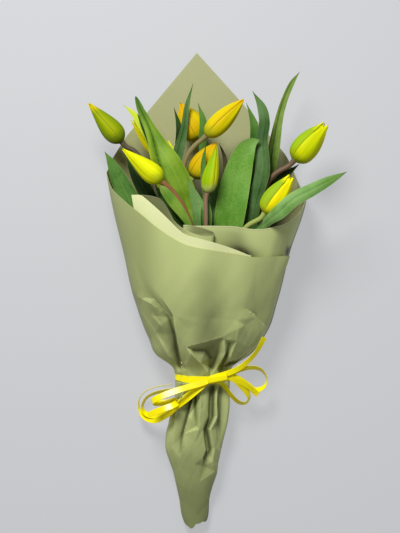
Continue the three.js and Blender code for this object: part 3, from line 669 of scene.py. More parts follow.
def pocketShade(spot, turn, depth):  # 0 in the open, 1 where little light gets in
    x, y = spot[..., 0], spot[..., 1]
    behind = (turn > math.pi * 1.003) & (turn < math.pi * 2.06)
    # painted shade on the back's inside, low in the mouth
    shade = ease(y, 164 - 0.25 * np.abs(x), 78) * behind * (0.45 + 0.75 * ease(np.abs(x + 8), 95, 55))
    # painted shade inside the front, by its folds
    under = (depth > 1.2) & (depth < 20) & ~behind
    flapRim = smoothly([[-75, 95], [-50, 76], [-33, 58], [-15, 52], [34, 35]], x)
    shade += under * hump(x, 25, 15) * hump(np.clip(y - flapRim, 0, None), 0, 6.5)
    shade += under * 0.4 * hump(x + 0.55 * (y - 30), 34, 10) * ease(y, 66, 50)
    shade += under * 0.24 * hump(x, 4, 22) * ease(y, 66, 56)
    foldShading = (depth > 2.3) & (depth < 5.2) & ~behind
    shade += foldShading * 0.75 * ease(y, 53.5, 57) * ease(x, -34, -20) * ease(x, 3, -3)
    turned = (depth > 1.8) & (depth < 2.3) & ~behind
    shade += turned * ease(x, -18, -50)
    # painted shadow in the slit under the seam's upper corner, and painted shade darker towards the tail's
    # end
    slit = (depth > 0.7) & (depth < 1.4) & ~behind
    shade += slit * 1.3 * hump(x, 73.4, 4.2, 6) * hump(y, 38.2, 6, 4)
    shade += 0.5 * ease(y, -150, -225)
    # soft shade over the front, and in its valleys
    front = (depth < 0.5) & (np.sin(turn) > 0.1)
    band = (0.27 + 0.2 * ease(y, 0, -40)) * hump(x, -7, 14) * ease(y, 36, 8) * ease(y, -85, -55)
    sunk = np.clip(-facetLift(x, y) / 12, 0, 0.6)
    sunk = sunk + 0.34 * hump(x + 0.435 * y, -67.6, 7) * ease(y, -4, -22) * ease(y, -80, -64)
    shade += front * (band + sunk + 0.18 * ease(y, 20, -60) + 0.42 * ease(x, -45, -75) * ease(y, -90, 0))
    return np.clip(shade, 0, 1.25)


def paintedCreaseLight(x, y):  # painted highlight on a ridge (more than 0), painted shade in a valley (less than 0)
    tone = np.zeros_like(x)
    for crease in creases:
        for (ax, ay, a), (bx, by, b) in zip(crease, crease[1:]):
            run = np.array([bx - ax, by - ay])
            part = np.clip(((x - ax) * run[0] + (y - ay) * run[1]) / (run @ run), 0, 1)
            away = np.hypot(x - ax - part * run[0], y - ay - part * run[1])
            out = a + part * (b - a)
            ridge = 0.5 * hump(away, 0, 0.8) * np.clip(out / 3, 0, 1)
            valley = hump(away, 0, 1.8) * np.clip(-out / 4, 0, 1)
            tone = np.where(np.abs(ridge - valley) > np.abs(tone), ridge - valley, tone)
    return tone


def drawnToCreases(turn, y, inset):  # moves the points that are near a crease onto it
    x = flatX(turn, y, inset)
    columnGap, rowGap = np.abs(np.gradient(x, axis=1)), np.abs(np.gradient(y, axis=0))
    run = np.gradient(x, axis=1) / np.gradient(turn, axis=1)  # x for each radian of turn
    nearest = np.where(np.sin(turn) > 0.2, 5.0, 0)
    newTurn, newY = turn, y
    for crease in creases:
        for (ax, ay, _), (bx, by, _) in zip(crease, crease[1:]):
            long = math.hypot(bx - ax, by - ay)
            part = np.clip(((x - ax) * (bx - ax) + (y - ay) * (by - ay)) / long ** 2, 0, 1)
            reach = wrap["creaseReach"] * np.maximum(abs(by - ay) * columnGap, abs(bx - ax) * rowGap) / long
            moveX, moveY = ax + part * (bx - ax) - x, ay + part * (by - ay) - y
            away = np.hypot(moveX, moveY)
            closer = (away < nearest) & (away < reach)
            nearest = np.where(closer, away, nearest)
            newTurn = np.where(closer, turn + moveX / run, newTurn)
            newY = np.where(closer, y + moveY, newY)
    return newTurn, newY


def withFewerRows(sheet, columns, front):  # the layers inside keep one in three of the close rows
    mesh = bmesh.new()
    mesh.from_mesh(sheet.data)
    side = len(mesh.verts) // 2
    closeRows = len(np.arange(*wrap["closeRows"]))
    spare = []
    for edge in mesh.edges:
        (rowA, columnA), (rowB, columnB) = (divmod(point.index % side, columns) for point in edge.verts)
        above = rowA - wrap["lowRows"]
        if rowA == rowB and 0 <= above < closeRows and above % 3 > 0 and min(columnA, columnB) >= front:
            spare.append(edge)
    bmesh.ops.dissolve_edges(mesh, edges=spare, use_verts=True)
    mesh.to_mesh(sheet.data)
    mesh.free()
    return sheet


def makeWrap():
    turn, depth, rim, way, pale, outermost = wrapColumns()
    bottom = stepwise(wrap["tailEnd"], np.cos(turn)) + 0.5 * np.sin(9 * turn)
    lowEnd, highStart, _ = wrap["closeRows"]
    low = np.linspace(0, 1, wrap["lowRows"] + 1)[:-1, None]
    close = np.arange(*wrap["closeRows"])[:, None]
    high = np.concatenate([np.linspace(0, 0.93, wrap["highRows"]), [0.965, 0.982, 0.99, 1]])[:, None]
    y = np.vstack([bottom * (1 - low) + lowEnd * low, np.repeat(close, len(turn), 1),
                   highStart * (1 - high) + rim * high])
    gather = ease(y, -70, 20)
    pitch = wrap["layerAtTie"] * (1 - gather) + wrap["layerAtMouth"] * gather
    seam = wrap["seamLift"] * outermost * ease(turn, math.radians(36), math.radians(18)) * ease(y, 5, 34)
    within = wrap["innerGap"] * (1 - outermost) * ease(np.sin(turn), 0.05, 0.4) * ease(y, -5, -35)
    inset = depth * pitch + wrap["thick"] / 2 - seam + within
    shape = np.broadcast_to(turn, y.shape) + 0
    front = slice(0, int(outermost.sum()))
    shape[:, front], y[:, front] = drawnToCreases(shape[:, front], y[:, front], inset[:, front])
    half = wrap["thick"] / 2 * way
    outer = wallPoint(shape, y, inset - half)
    inner = wallPoint(shape, y, inset + half)
    paleness = np.broadcast_to(pale, y.shape) + 0
    # pale lines along the rims: a painted highlight where the paper's edge catches light
    rimHighlight = np.where(outermost > 0, 0, np.where(np.sin(turn) < 0.1, 0.45, 0.8))
    paleness[-2:] = np.maximum(paleness[-2:], rimHighlight)
    # painted highlight and shade along the creases of the outer front
    tone = paintedCreaseLight(outer[..., 0], outer[..., 1]) * (np.sin(shape) > 0.15) * outermost
    sheet = thinPiece("wrap_sheet", outer, inner, {
        "reverse": paleness, "paintedShade": pocketShade(inner, shape, depth), "crease": tone})
    return withFewerRows(sheet, len(turn), front.stop)


wrapSheet = makeWrap()
wrapSheet.data.set_sharp_from_angle(angle=math.radians(wrap["creaseAngle"]))
wrapSheet.data.materials.append(finishOf("sagePaper", paperFibre, wrap["colours"], wrap))
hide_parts("wrap_paper")
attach(wrapSheet, "root")
wrapSheet.data.calc_loop_triangles()
print("wrap made", len(wrapSheet.data.loop_triangles))


# Geometry Nodes: one tree sweeps stems, one sweeps ribbon and one sets petals round a bud

def buildSweptStem():
    tree = meshTree("sweptStem", {"Radius": 0.0035, "Taper": 0.88, "Sides": 20, "Swelling": 0.25})
    given = tree.given
    toCurve = tree.node("GeometryNodeMeshToCurve")
    along = tree.node("GeometryNodeSplineParameter").outputs["Factor"]
    store = tree.node("GeometryNodeStoreNamedAttribute", {"Name": "along", "Value": along},
                      data_type="FLOAT", domain="POINT")
    narrowing = tree.between(along, 0.0, 1.0, 1.0, given["Taper"])
    head = tree.ramp(along, 0.985, 1.0, given["Swelling"])
    lumps = tree.node("ShaderNodeTexNoise", {"Scale": 45.0}).outputs[0]
    ripple = tree.times(tree.minus(lumps, 0.5), 0.12)
    width = tree.plus(tree.plus(narrowing, head), ripple)
    circle = tree.node("GeometryNodeCurvePrimitiveCircle", {
        "Resolution": given["Sides"], "Radius": given["Radius"]})
    sweep = tree.node("GeometryNodeCurveToMesh", {
        "Scale": width, "Fill Caps": True, "Profile Curve": circle.outputs["Curve"]})
    return tree.givesMesh(given["Geometry"], toCurve, store, sweep)


def buildSweptStrap():
    tree = meshTree("sweptStrap", {"Width": 0.0056, "Thickness": 0.0004})
    given = tree.given
    toCurve = tree.node("GeometryNodeMeshToCurve")
    facing = tree.node("GeometryNodeInputNamedAttribute", {"Name": "facing"}, data_type="FLOAT_VECTOR")
    wide = tree.node("GeometryNodeInputNamedAttribute", {"Name": "wide"}, data_type="FLOAT")
    normal = tree.node("GeometryNodeSetCurveNormal", {"Normal": facing.outputs[0]}, mode="FREE")
    profile = tree.node("GeometryNodeCurvePrimitiveQuadrilateral", {
        "Width": given["Thickness"], "Height": given["Width"]})
    rounded = tree.node("GeometryNodeFilletCurve", {"Radius": 0.00012, "Curve": profile.outputs["Curve"]})
    sweep = tree.node("GeometryNodeCurveToMesh", {
        "Scale": wide.outputs[0], "Fill Caps": True, "Profile Curve": rounded.outputs["Curve"]})
    return tree.givesMesh(given["Geometry"], toCurve, normal, sweep)


def buildPetalWhorl():
    tree = meshTree("petalWhorl", {"Petals": 3, "Lean": 0.02, "Length Range": 0.03, "Seed": 1})
    given = tree.given
    spots = tree.node("GeometryNodeMeshLine", {"Count": given["Petals"], "Offset": (0, 0, 0)}, mode="OFFSET")
    order = tree.node("GeometryNodeInputIndex").outputs[0]
    turn = tree.times(order, tree.maths("DIVIDE", 2 * math.pi, given["Petals"]))
    lean = tree.node("FunctionNodeRandomValue", {
        2: tree.times(given["Lean"], -1.0), 3: given["Lean"], "Seed": given["Seed"]}, data_type="FLOAT")
    swing = tree.node("ShaderNodeCombineXYZ", {1: lean.outputs[1], 2: turn})
    stretch = tree.node("FunctionNodeRandomValue", {
        2: tree.minus(1.0, given["Length Range"]), 3: 1.0, "Seed": given["Seed"]}, data_type="FLOAT")
    size = tree.node("ShaderNodeCombineXYZ", {0: 1.0, 1: 1.0, 2: stretch.outputs[1]})
    copies = tree.node("GeometryNodeInstanceOnPoints", {
        "Instance": given["Geometry"], "Rotation": swing.outputs[0], "Scale": size.outputs[0]})
    mark = tree.node("GeometryNodeStoreNamedAttribute", {"Name": "petal", "Value": order},
                     data_type="FLOAT", domain="INSTANCE")
    return tree.givesMesh(spots.outputs[0], copies, mark)


def grown(piece, tree, values):  # runs a tree on a piece and keeps the result as a plain mesh
    modifier = piece.modifiers.new(tree.name, "NODES")
    modifier.node_group = tree
    for item in tree.interface.items_tree:
        if item.item_type == "SOCKET" and item.in_out == "INPUT" and item.name in values:
            modifier[item.identifier] = values[item.name]
    bpy.context.view_layer.update()
    depsgraph = bpy.context.evaluated_depsgraph_get()
    result = bpy.data.meshes.new_from_object(piece.evaluated_get(depsgraph))
    piece.modifiers.remove(modifier)
    old = piece.data
    piece.data = result
    bpy.data.meshes.remove(old)
    result.name = piece.name
    smoothFaces(result)
    return piece


def routePiece(name, route, marks):  # a line of edges for a tree to sweep along
    mesh = bpy.data.meshes.new(name)
    mesh.from_pydata((route * mm).tolist(), [(i, i + 1) for i in range(len(route) - 1)], [])
    addMarks(mesh, marks)
    return pieceOf(name, mesh)


sweptStem = buildSweptStem()
sweptStrap = buildSweptStrap()
petalWhorl = buildPetalWhorl()


# Flowers: ten stems, each with its bud. Slot is the stem's place in the tie, route its way to
# the bud, and spin turns the bud round its stem. Green petal is the number, from 0, of the petal
# that is greener or less green than the rest, and turned is its colour.

bundle = {
    "x": -13, "lowZ": 6.6, "pitch": 7.6, "growth": 1.12, "cutEnd": -158, "bundleEnd": -120, "tie": (-95, -85),
    "radius": 3.5, "taper": 0.7, "neck": 6, "points": 90, "perSpan": 14, "sides": 20, "swelling": 0.18,
    "flushFrom": 0.62, "specular": 0.2, "bump": 0.2, "bumpDepth": 0.0003,
}

stemTones = {  # low on the stem, and under the bud
    "pale": ((130, 146, 60), (150, 162, 82)),
    "mauve": ((112, 114, 60), (122, 112, 72)),
    "clay": ((118, 108, 68), (130, 104, 80)),
    "dark": ((84, 84, 52), (86, 78, 60)),
    "rosy": ((128, 120, 56), (134, 92, 58)),
    "brown": ((104, 98, 60), (108, 86, 66)),
}

petalInputs = ("Base", "Rib", "Edge", "Tip", "Rib Width", "Seam")
# the last number is how dark the painted shade along the petals' edges is
petalTones = {
    "ripe": ((164, 180, 28), (214, 218, 8), (200, 204, 8), (230, 224, 12), 0.6, 0.22),
    "lime": ((106, 126, 16), (116, 138, 4), (146, 158, 5), (200, 182, 8), 0.9, 0.8),
    "light": ((196, 206, 112), (132, 170, 8), (170, 188, 20), (176, 186, 12), 0.9, 0.6),
    "gold": ((166, 164, 24), (204, 192, 5), (202, 176, 4), (214, 168, 6), 0.8, 0.7),
    "amber": ((168, 160, 20), (202, 182, 4), (198, 164, 4), (204, 158, 6), 0.7, 0.6),
    "sunny": ((188, 196, 26), (236, 232, 6), (232, 218, 6), (240, 232, 12), 0.6, 0.4),
    "sharp": ((150, 168, 12), (192, 206, 5), (198, 204, 6), (220, 218, 10), 0.7, 0.45),
}

flowers = [
    {"slot": (-1.5, 1), "route": [(-42, 0, 30), (-58, 70, 42), (-70, 122, 47), (-81, 140, 49)],
     "base": (-93.5, 149, 50), "tip": (-127, 188, 56), "width": 22, "spin": 30,
     "petals": "lime", "skin": "dark", "form": "slim", "slots": ("petal_green", "stem_red")},
    {"slot": (-1, 0), "route": [(-34, 0, 15), (-42, 60, 25), (-43.5, 105, 32)],
     "base": (-47, 131, 36), "tip": (-83, 174, 44), "width": 22, "spin": 50,
     "petals": "sunny", "skin": "mauve", "form": "parted", "slots": ("petal_yellow", "stem_red")},
    {"slot": (-1, 2), "route": [(-24, 0, 58), (-21.5, 50, 80), (-29, 77, 88), (-35.5, 89, 91),
                                (-44, 100, 93)],
     "base": (-52.5, 107.5, 95), "tip": (-91.5, 140, 98), "width": 21, "spin": 74,
     "petals": "ripe", "skin": "rosy", "form": "slim", "slots": ("petal_yellow", "stem_red")},
    {"slot": (0, 0), "route": [(-17, 0, 10), (-25, 75, 15)],
     "base": (-31, 101, 18), "tip": (-48.5, 152, 22), "width": 20, "spin": 10,
     "petals": "ripe", "skin": "pale", "form": "slim", "slots": ("petal_yellow", "stem_green")},
    {"slot": (1, 0), "route": [(0, 0, 13), (-6, 90, 24), (-12, 132, 30)],
     "base": (-16.5, 152, 32), "tip": (-35.5, 190, 34), "width": 29, "spin": 40,
     "petals": "amber", "skin": "pale", "form": "full", "slots": ("petal_orange", "stem_green")},
    {"slot": (-0.5, 1), "route": [(-27, 0, 34), (-32, 70, 50), (-29, 100, 56)],
     "base": (-22.5, 113, 59), "tip": (1.5, 149, 64), "width": 23.5, "spin": 66,
     "petals": "amber", "skin": "pale", "form": "full", "slots": ("petal_orange", "stem_green")},
    {"slot": (0, 2), "route": [(-10, 0, 60), (-10, 50, 77), (-9.5, 71, 82)],
     "base": (-8.5, 97, 84), "tip": (1.5, 144, 88), "width": 17, "spin": 2,
     "petals": "light", "skin": "clay", "form": "slim", "greenPetal": 0, "turned": (206, 208, 22),
     "slots": ("petal_green", "stem_red"), "radius": 2.6, "taper": 0.84},
    {"slot": (0.5, 1), "route": [(-17, 0, 44), (-28, 60, 58), (-34, 105, 66), (-31.5, 125, 67),
                                 (-27, 136.5, 68), (-19, 146, 69)],
     "base": (-9.5, 154, 70), "tip": (29, 190.6, 74), "width": 21, "spin": 44,
     "petals": "gold", "skin": "mauve", "form": "full", "slots": ("petal_yellow", "stem_red")},
    {"slot": (1, 2), "route": [(4, 0, 52), (14, 36, 69), (30.5, 63.5, 80)],
     "base": (48, 77, 85), "tip": (75.5, 114, 89), "width": 25, "spin": 289,
     "petals": "sunny", "skin": "pale", "form": "parted", "greenPetal": 1, "turned": (116, 162, 34),
     "slots": ("petal_yellow", "stem_green")},
    {"slot": (1.5, 1), "route": [(18, 0, 32), (36, 60, 46), (55.5, 113, 56)],
     "base": (78, 130, 60), "tip": (111, 167, 65), "width": 27, "spin": 300,
     "petals": "sharp", "skin": "brown", "form": "parted", "greenPetal": 1,
     "slots": ("petal_green", "stem_red")},
]


def stemRoute(flower):
    base, tip = np.array(flower["base"], float), np.array(flower["tip"], float)
    rowPitch = bundle["pitch"] * math.sin(math.pi / 3)

    def inTie(y, spread):
        column, row = flower["slot"]
        return (bundle["x"] + column * bundle["pitch"] * spread, y, bundle["lowZ"] + row * rowPitch * spread)

    neck = base - bundle["neck"] * unit(tip - base)
    low, high = bundle["tie"]
    held = [inTie(y, 1) for y in (bundle["cutEnd"], bundle["bundleEnd"], low)]
    held.append(inTie(high, bundle["growth"]))
    way = routeThrough([*held, *flower["route"], neck, base], bundle["perSpan"])
    return evenly(way, bundle["points"])


petal = {
    # three shapes: the width along a petal, from its base, as a share of the widest
    "slim": [[0, 0.28], [0.03, 0.5], [0.08, 0.74], [0.16, 0.93], [0.25, 1], [0.36, 0.97], [0.5, 0.83],
             [0.65, 0.62], [0.8, 0.38], [0.92, 0.18], [1, 0.06]],
    "full": [[0, 0.28], [0.03, 0.5], [0.08, 0.73], [0.17, 0.91], [0.3, 1], [0.44, 0.98], [0.6, 0.83],
             [0.75, 0.61], [0.88, 0.34], [0.96, 0.16], [1, 0.07]],
    "parted": [[0, 0.28], [0.03, 0.5], [0.08, 0.73], [0.17, 0.91], [0.3, 1], [0.44, 0.98], [0.6, 0.84],
               [0.75, 0.64], [0.88, 0.43], [0.96, 0.32], [1, 0.28]],
    # degrees from the rib to an edge
    "half": [[0, 66], [0.4, 64], [0.7, 62], [0.88, 57], [1, 40]],
    "partedHalf": [[0, 66], [0.4, 64], [0.7, 60], [0.84, 48], [0.94, 28], [1, 5]],
    "overlap": 0.35,  # how far one edge stands over its neighbour's
    "thick": 0.6,
    "inside": 1.3,  # inner petals under the outer ones
    "rows": 44,
    "columns": 23,
    "lean": 0.012,
    "lengthRange": 0.05,
    "turned": (134, 170, 22),  # for a flower that doesn't say
    "specular": 0.06,
    "roughness": 0.55,
    "bump": 0.35,
    "bumpDepth": 0.0003,
}


def petalFaces(form, width, length, inner):
    v = np.linspace(0, 1, petal["rows"])[:, None] ** 0.92
    u = np.linspace(-1, 1, petal["columns"])[None, :]
    spread = petal["partedHalf"] if form == "parted" else petal["half"]
    half = np.radians(smoothly(spread, v)) * (0.8 if inner else 1)
    radius = smoothly(petal[form], v) * (width - 0.8) / 2
    drop = petal["inside"] * ease(v, 0, 0.15) * (1 - 0.75 * ease(v, 0.7, 1)) if inner else 0
    keel = 0.35 * hump(u, 0, 0.14) * ease(v, 0.25, 0.8)
    curl = -0.5 * np.abs(u) ** 8 * ease(v, 0.1, 0.4)
    ripple = 0.12 * np.sin(9 * u + 3 * v) * ease(v, 0.1, 0.5)
    outward = radius - drop + petal["overlap"] * u * ease(v, 0.03, 0.2) + keel + curl + ripple
    turn = u * half + (math.pi / 3 if inner else 0)
    height = v * length * (0.97 if inner else 1) + 0 * u

    def face(depth):
        r = np.maximum(outward - depth, 0.15)
        return np.stack([r * np.cos(turn), r * np.sin(turn), height], -1)

    return face(0), face(petal["thick"] * (0.35 + 0.65 * np.sin(np.clip(v, 0.02, 0.98) * math.pi)))


def placedAlong(piece, start, heading, spin):  # puts a bud that stands on Z at its place on the stem
    h = Vector(heading)
    side = h.cross(Vector((0, 0, 1))).normalized()
    up = side.cross(h).normalized()
    c, s = math.cos(math.radians(spin)), math.sin(math.radians(spin))
    x = side * c + up * s
    y = h.cross(x)
    points = pointsOf(piece.data) @ np.array([x, y, h]) + np.array(start) * mm
    piece.data.vertices.foreach_set("co", points.ravel())
    piece.data.update()


def makeBud(name, flower, order):
    base, tip = np.array(flower["base"], float), np.array(flower["tip"], float)
    length = float(np.linalg.norm(tip - base)) - 0.3
    pair = []
    for inner in (False, True):
        front, back = petalFaces(flower["form"], flower["width"], length, inner)
        pair.append(thinPiece(name, front, back, {}))
    bud = joined(pair, name)
    ownPetal = {"Green Petal": flower.get("greenPetal", -1.0), "Green": flower.get("turned", petal["turned"])}
    values = dict(zip(petalInputs, petalTones[flower["petals"]])) | ownPetal
    material = finishOf(name + "_petals", petalFlush, values, petal)
    grown(bud, petalWhorl, {"Petals": 3, "Lean": petal["lean"], "Length Range": petal["lengthRange"],
                            "Seed": 11 + order, "Material": material})
    bud.data.set_sharp_from_angle(angle=sharpFrom)
    heading = (tip - base) / np.linalg.norm(tip - base)
    placedAlong(bud, base + 0.3 * heading, tuple(heading), flower["spin"])
    return bud


stemRoutes = [stemRoute(flower) for flower in flowers]
for order, flower in enumerate(flowers):
    number = f"{order + 1:02d}"
    size = bundle | flower  # a flower may have a radius and taper of its own
    low, high = stemTones[flower["skin"]]
    values = {"Low": low, "High": high, "Flush From": bundle["flushFrom"]}
    skin = finishOf(f"stem_{number}_skin", stemFlush, values, bundle)
    stem = routePiece(f"stemlet_{number}", stemRoutes[order], {})
    grown(stem, sweptStem, {"Radius": size["radius"] * mm, "Taper": size["taper"], "Sides": size["sides"],
                            "Swelling": size["swelling"], "Material": skin})
    stem.data.set_sharp_from_angle(angle=sharpFrom)
    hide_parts(f"stem_{number}")
    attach(stem, "root")
    bud = makeBud(f"bud_{number}", flower, order)
    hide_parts(f"bloom_{number}")
    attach(bud, "root")
print("stems and buds made")


# Leaves: each clasps its stem at the height joint, behind it (1) or in front of it (-1). A row
# is x, y, z, width and curl in degrees. Wave and fold are how much the edges wave and how deep
# the channel along the rib is.

blade = {
    "thick": 0.7, "edgeThick": 0.35, "claspCurl": (200, 150), "claspLength": 13, "claspFlare": 1.2,
    "claspRadius": bundle["radius"] + 1.15, "perRow": 12, "columns": 21,
    "specular": 0.16, "bump": 0.3, "bumpDepth": 0.0003,
}

tones = {  # deep, fresh and tip colours, then how waxy, ribbed and mottled
    "dark": ((44, 84, 26), (84, 128, 48), (86, 126, 44), 0.08, 1.0, 0.3),
    # a leaf's green darkened to stand for one deep in shade: painted shade
    "shadowed": ((14, 32, 6), (32, 58, 14), (44, 74, 22), 0.02, 0.8, 0.2),
    "umber": ((58, 56, 34), (86, 78, 52), (90, 80, 56), 0.0, 0.5, 0.3),
    "blue": ((44, 76, 34), (76, 110, 52), (84, 118, 56), 0.12, 1.0, 0.3),
    "dusty": ((72, 112, 52), (114, 152, 80), (104, 138, 74), 0.1, 0.8, 0.4),
    "fresh": ((88, 124, 22), (126, 158, 42), (60, 98, 24), 0.03, 0.7, 0.2),
    "slim": ((66, 98, 26), (124, 150, 60), (108, 134, 48), 0.06, 1.4, 0.2),
    "bright": ((150, 176, 30), (194, 212, 60), (196, 212, 44), 0.0, 0.8, 0.2),
    "broad": ((84, 132, 42), (108, 152, 56), (112, 152, 72), 0.06, 0.3, 1.0),
    "sheath": ((84, 124, 36), (130, 162, 54), (112, 132, 56), 0.05, 0.8, 0.2),
    "arm": ((88, 132, 56), (124, 166, 86), (100, 134, 56), 0.12, 0.9, 0.3),
}

# A blade runs to a fine point unless it is blunt, with a round end.
leaves = [
    {"stem": 1, "joint": 0, "side": -1, "tone": "dark", "tip": (-110.5, 139, 58), "wave": 0.8,
     "rows": [(-64, 38, 47, 15, 50), (-77, 66, 52, 17, 45), (-87, 92, 55, 20, 35), (-97, 113, 57, 16, 30),
              (-104.5, 129, 58, 8, 25)]},
    {"stem": 1, "joint": 44, "side": -1, "tone": "shadowed", "tip": (-88.5, 134, 60), "wave": 0.6,
     "rows": [(-58, 74, 51, 13, 70), (-66, 92, 54, 16, 45), (-77, 113, 57, 14, 30), (-84, 126, 58, 8, 20)]},
    {"stem": 2, "joint": 62, "side": -1, "tone": "bright", "tip": (-91.5, 185, 60), "wave": 0.4,
     "rows": [(-50, 92, 38, 10, 60), (-55, 112, 47, 10, 50), (-60, 131, 54, 9, 40), (-65.5, 151, 57, 8.6, 30),
              (-74, 165, 58, 8, 30), (-82, 177, 59, 5, 20)]},
    {"stem": 3, "joint": 12, "side": 1, "tone": "fresh", "tip": (-79.5, 193.5, 66), "wave": 0.6, "fold": 2.4,
     "shape": "blunt", "foldLine": [[0, -1.2], [4, -1.15], [5.3, -0.78], [7, -0.1], [9, 0]],
     "rows": [(-24, 50, 67, 20, 100), (-27, 80, 68, 24, 70), (-33, 100, 72, 26, 60), (-45.5, 126, 74, 24, 60),
              (-56, 143, 72, 19, 60), (-65.5, 162, 69, 11.5, 60), (-73, 177, 67, 8, 60)]},
    {"stem": 6, "joint": 15, "side": 1, "tone": "blue", "tip": (-22.5, 207, 52), "wave": 0.5, "fold": 2,
     "rows": [(-33, 60, 41, 14, 80), (-39, 95, 46, 14, 60), (-40, 126, 49, 12, 50), (-36.5, 141, 50, 11, 50),
              (-31.5, 161, 51, 7.5, 50), (-28.5, 185, 51, 5, 40)]},
    {"stem": 5, "joint": 60, "side": -1, "tone": "dark", "tip": (-17.6, 188, 52), "wave": 0.4,
     "rows": [(-6, 92, 34, 9, 70), (-9, 115, 39, 9, 60), (-12, 134, 43, 8, 50), (-13, 150, 48, 7.5, 40),
              (-12.5, 170, 51, 7, 40)]},
    {"stem": 9, "joint": 5, "side": 1, "tone": "broad", "tip": (44.3, 150, 71), "wave": 1.2, "fold": 0.2,
     "rows": [(9, 34, 57, 22, 95), (11, 52, 61, 28, 70), (14, 75, 65, 31, 55), (18, 98, 67, 31, 50),
              (22.5, 118, 68, 28, 50), (27, 133, 69, 23, 50), (31.5, 142, 69.5, 18, 45),
              (37.5, 147.5, 70, 10, 40)]},
    {"stem": 7, "joint": 12, "side": 1, "tone": "dusty", "tip": (5, 112, 60), "wave": 0.5,
     "rows": [(-8, 45, 62, 11, 90), (-4, 68, 62, 12, 60), (-1, 91, 61, 10, 50)]},
    {"stem": 10, "joint": 15, "side": -1, "tone": "blue", "tip": (36.7, 198.7, 65), "wave": 1.0,
     "rows": [(29, 42, 49, 12, 90), (34.5, 64, 57, 13, 50), (39.5, 91, 62, 13, 40), (46.5, 119, 65, 15, 30),
              (46, 150, 64, 12, 30), (48.5, 168, 64, 11, 30), (46, 182, 64, 9, 30)]},
    {"stem": 10, "joint": 38, "side": 1, "tone": "dark", "tip": (30.8, 188, 52), "wave": 0.5,
     "rows": [(34, 64, 39, 11, 90), (37, 90, 43, 10, 60), (40, 126, 48, 9, 50), (38.5, 150, 51, 8, 50),
              (38.5, 166, 52, 8, 40)]},
    {"stem": 10, "joint": -5, "side": 1, "tone": "slim", "tip": (84, 219, 52), "wave": 0.5, "fold": 2,
     "foldLine": [[0, -0.1], [10, -0.3]],
     "rows": [(25, 25, 29, 13, 100), (36, 55, 33, 13, 60), (46, 85, 38, 12, 50), (55.5, 124, 44, 11, 50),
              (58.5, 143, 46, 12, 60), (64, 174, 48, 8, 60), (69, 191, 50, 6.5, 60), (76.5, 208, 51, 5, 50)]},
    {"stem": 9, "joint": 22, "side": -1, "tone": "arm", "tip": (128.4, 117.3, 93), "wave": 0.3, "fold": -0.6,
     "rows": [(20, 42, 79, 12, 90), (29, 49, 81, 11, 50), (40, 56.5, 77.5, 10, 35), (46.5, 64.5, 81, 9, 25),
              (54, 71.5, 93, 11, 30), (62, 77.5, 101, 14, 35), (76, 90, 101, 14, 30), (92, 98.5, 99, 13, 30),
              (108, 107, 97, 10, 30), (120, 113, 95, 5, 20)]},
    {"stem": 3, "joint": 28, "side": -1, "tone": "sheath", "tip": (-55, 104.8, 96.5), "wave": 0.2,
     "rows": [(-24, 50, 87, 8, 90), (-26, 64, 90, 6, 70), (-32.2, 75, 93.5, 8.5, 60),
              (-39.5, 84.8, 96, 10.5, 50), (-47.2, 94.7, 97, 9.5, 45), (-51.8, 100.5, 97, 7, 40)]},
    {"stem": 7, "joint": 38, "side": 1, "tone": "dusty", "tip": (-28.5, 113, 80), "wave": 0.5,
     "rows": [(-13, 60, 71.5, 15, 80), (-15, 73, 75, 15, 55), (-19.5, 90, 77.5, 11.5, 45)]},
    {"stem": 5, "joint": 34, "side": -1, "tone": "umber", "tip": (3.5, 148, 50), "wave": 0.1,
     "rows": [(2, 72, 32, 10, 80), (6, 96, 39, 8, 60), (10, 120, 45, 5, 60), (9, 134, 47.5, 4, 60)]},
    {"stem": 10, "joint": 82, "side": 1, "tone": "shadowed", "tip": (84, 127, 54), "wave": 0.3,
     "rows": [(59, 106, 50, 10, 70), (69, 115, 52, 9, 50)]},
]

# Small leaves that show between the others
smallLeaves = [
    {"stem": 7, "joint": 60, "side": 1, "tone": "dark", "tip": (-9.5, 145, 80), "wave": 0.2,
     "rows": [(-10, 92, 75, 6, 60), (-12.5, 112, 75.5, 5, 40), (-12, 129, 78, 4.4, 30)]},
    {"stem": 6, "joint": 24, "side": 1, "tone": "shadowed", "tip": (-41.5, 183.5, 49), "wave": 0.2,
     "rows": [(-36, 75, 43, 8, 60), (-40, 110, 46, 7, 50), (-37.5, 142, 47, 7, 50), (-36.5, 163, 48, 6, 40)]},
    {"stem": 2, "joint": 68, "side": -1, "tone": "shadowed", "tip": (-77.8, 176, 63), "wave": 0.2,
     "rows": [(-47, 108, 52, 8, 60), (-54, 126, 62, 7, 50), (-64, 148, 63, 7, 40), (-71.5, 165, 63, 6, 40)]},
    {"stem": 3, "joint": 22, "side": 1, "tone": "dark", "tip": (-60, 105, 76), "wave": 0.4,
     "rows": [(-32, 58, 70, 10, 70), (-42, 76, 73, 11, 50), (-52, 93, 75, 9, 40)]},
]


def claspRow(leaf, step):
    route = stemRoutes[leaf["stem"] - 1]
    radius = blade["claspRadius"] + blade["claspFlare"] * step
    y = leaf["joint"] + blade["claspLength"] * step
    x = np.interp(y, route[:, 1], route[:, 0])
    z = np.interp(y, route[:, 1], route[:, 2]) - leaf["side"] * radius
    curl = blade["claspCurl"][step]
    return (x, y, z, radius * math.radians(curl), curl)


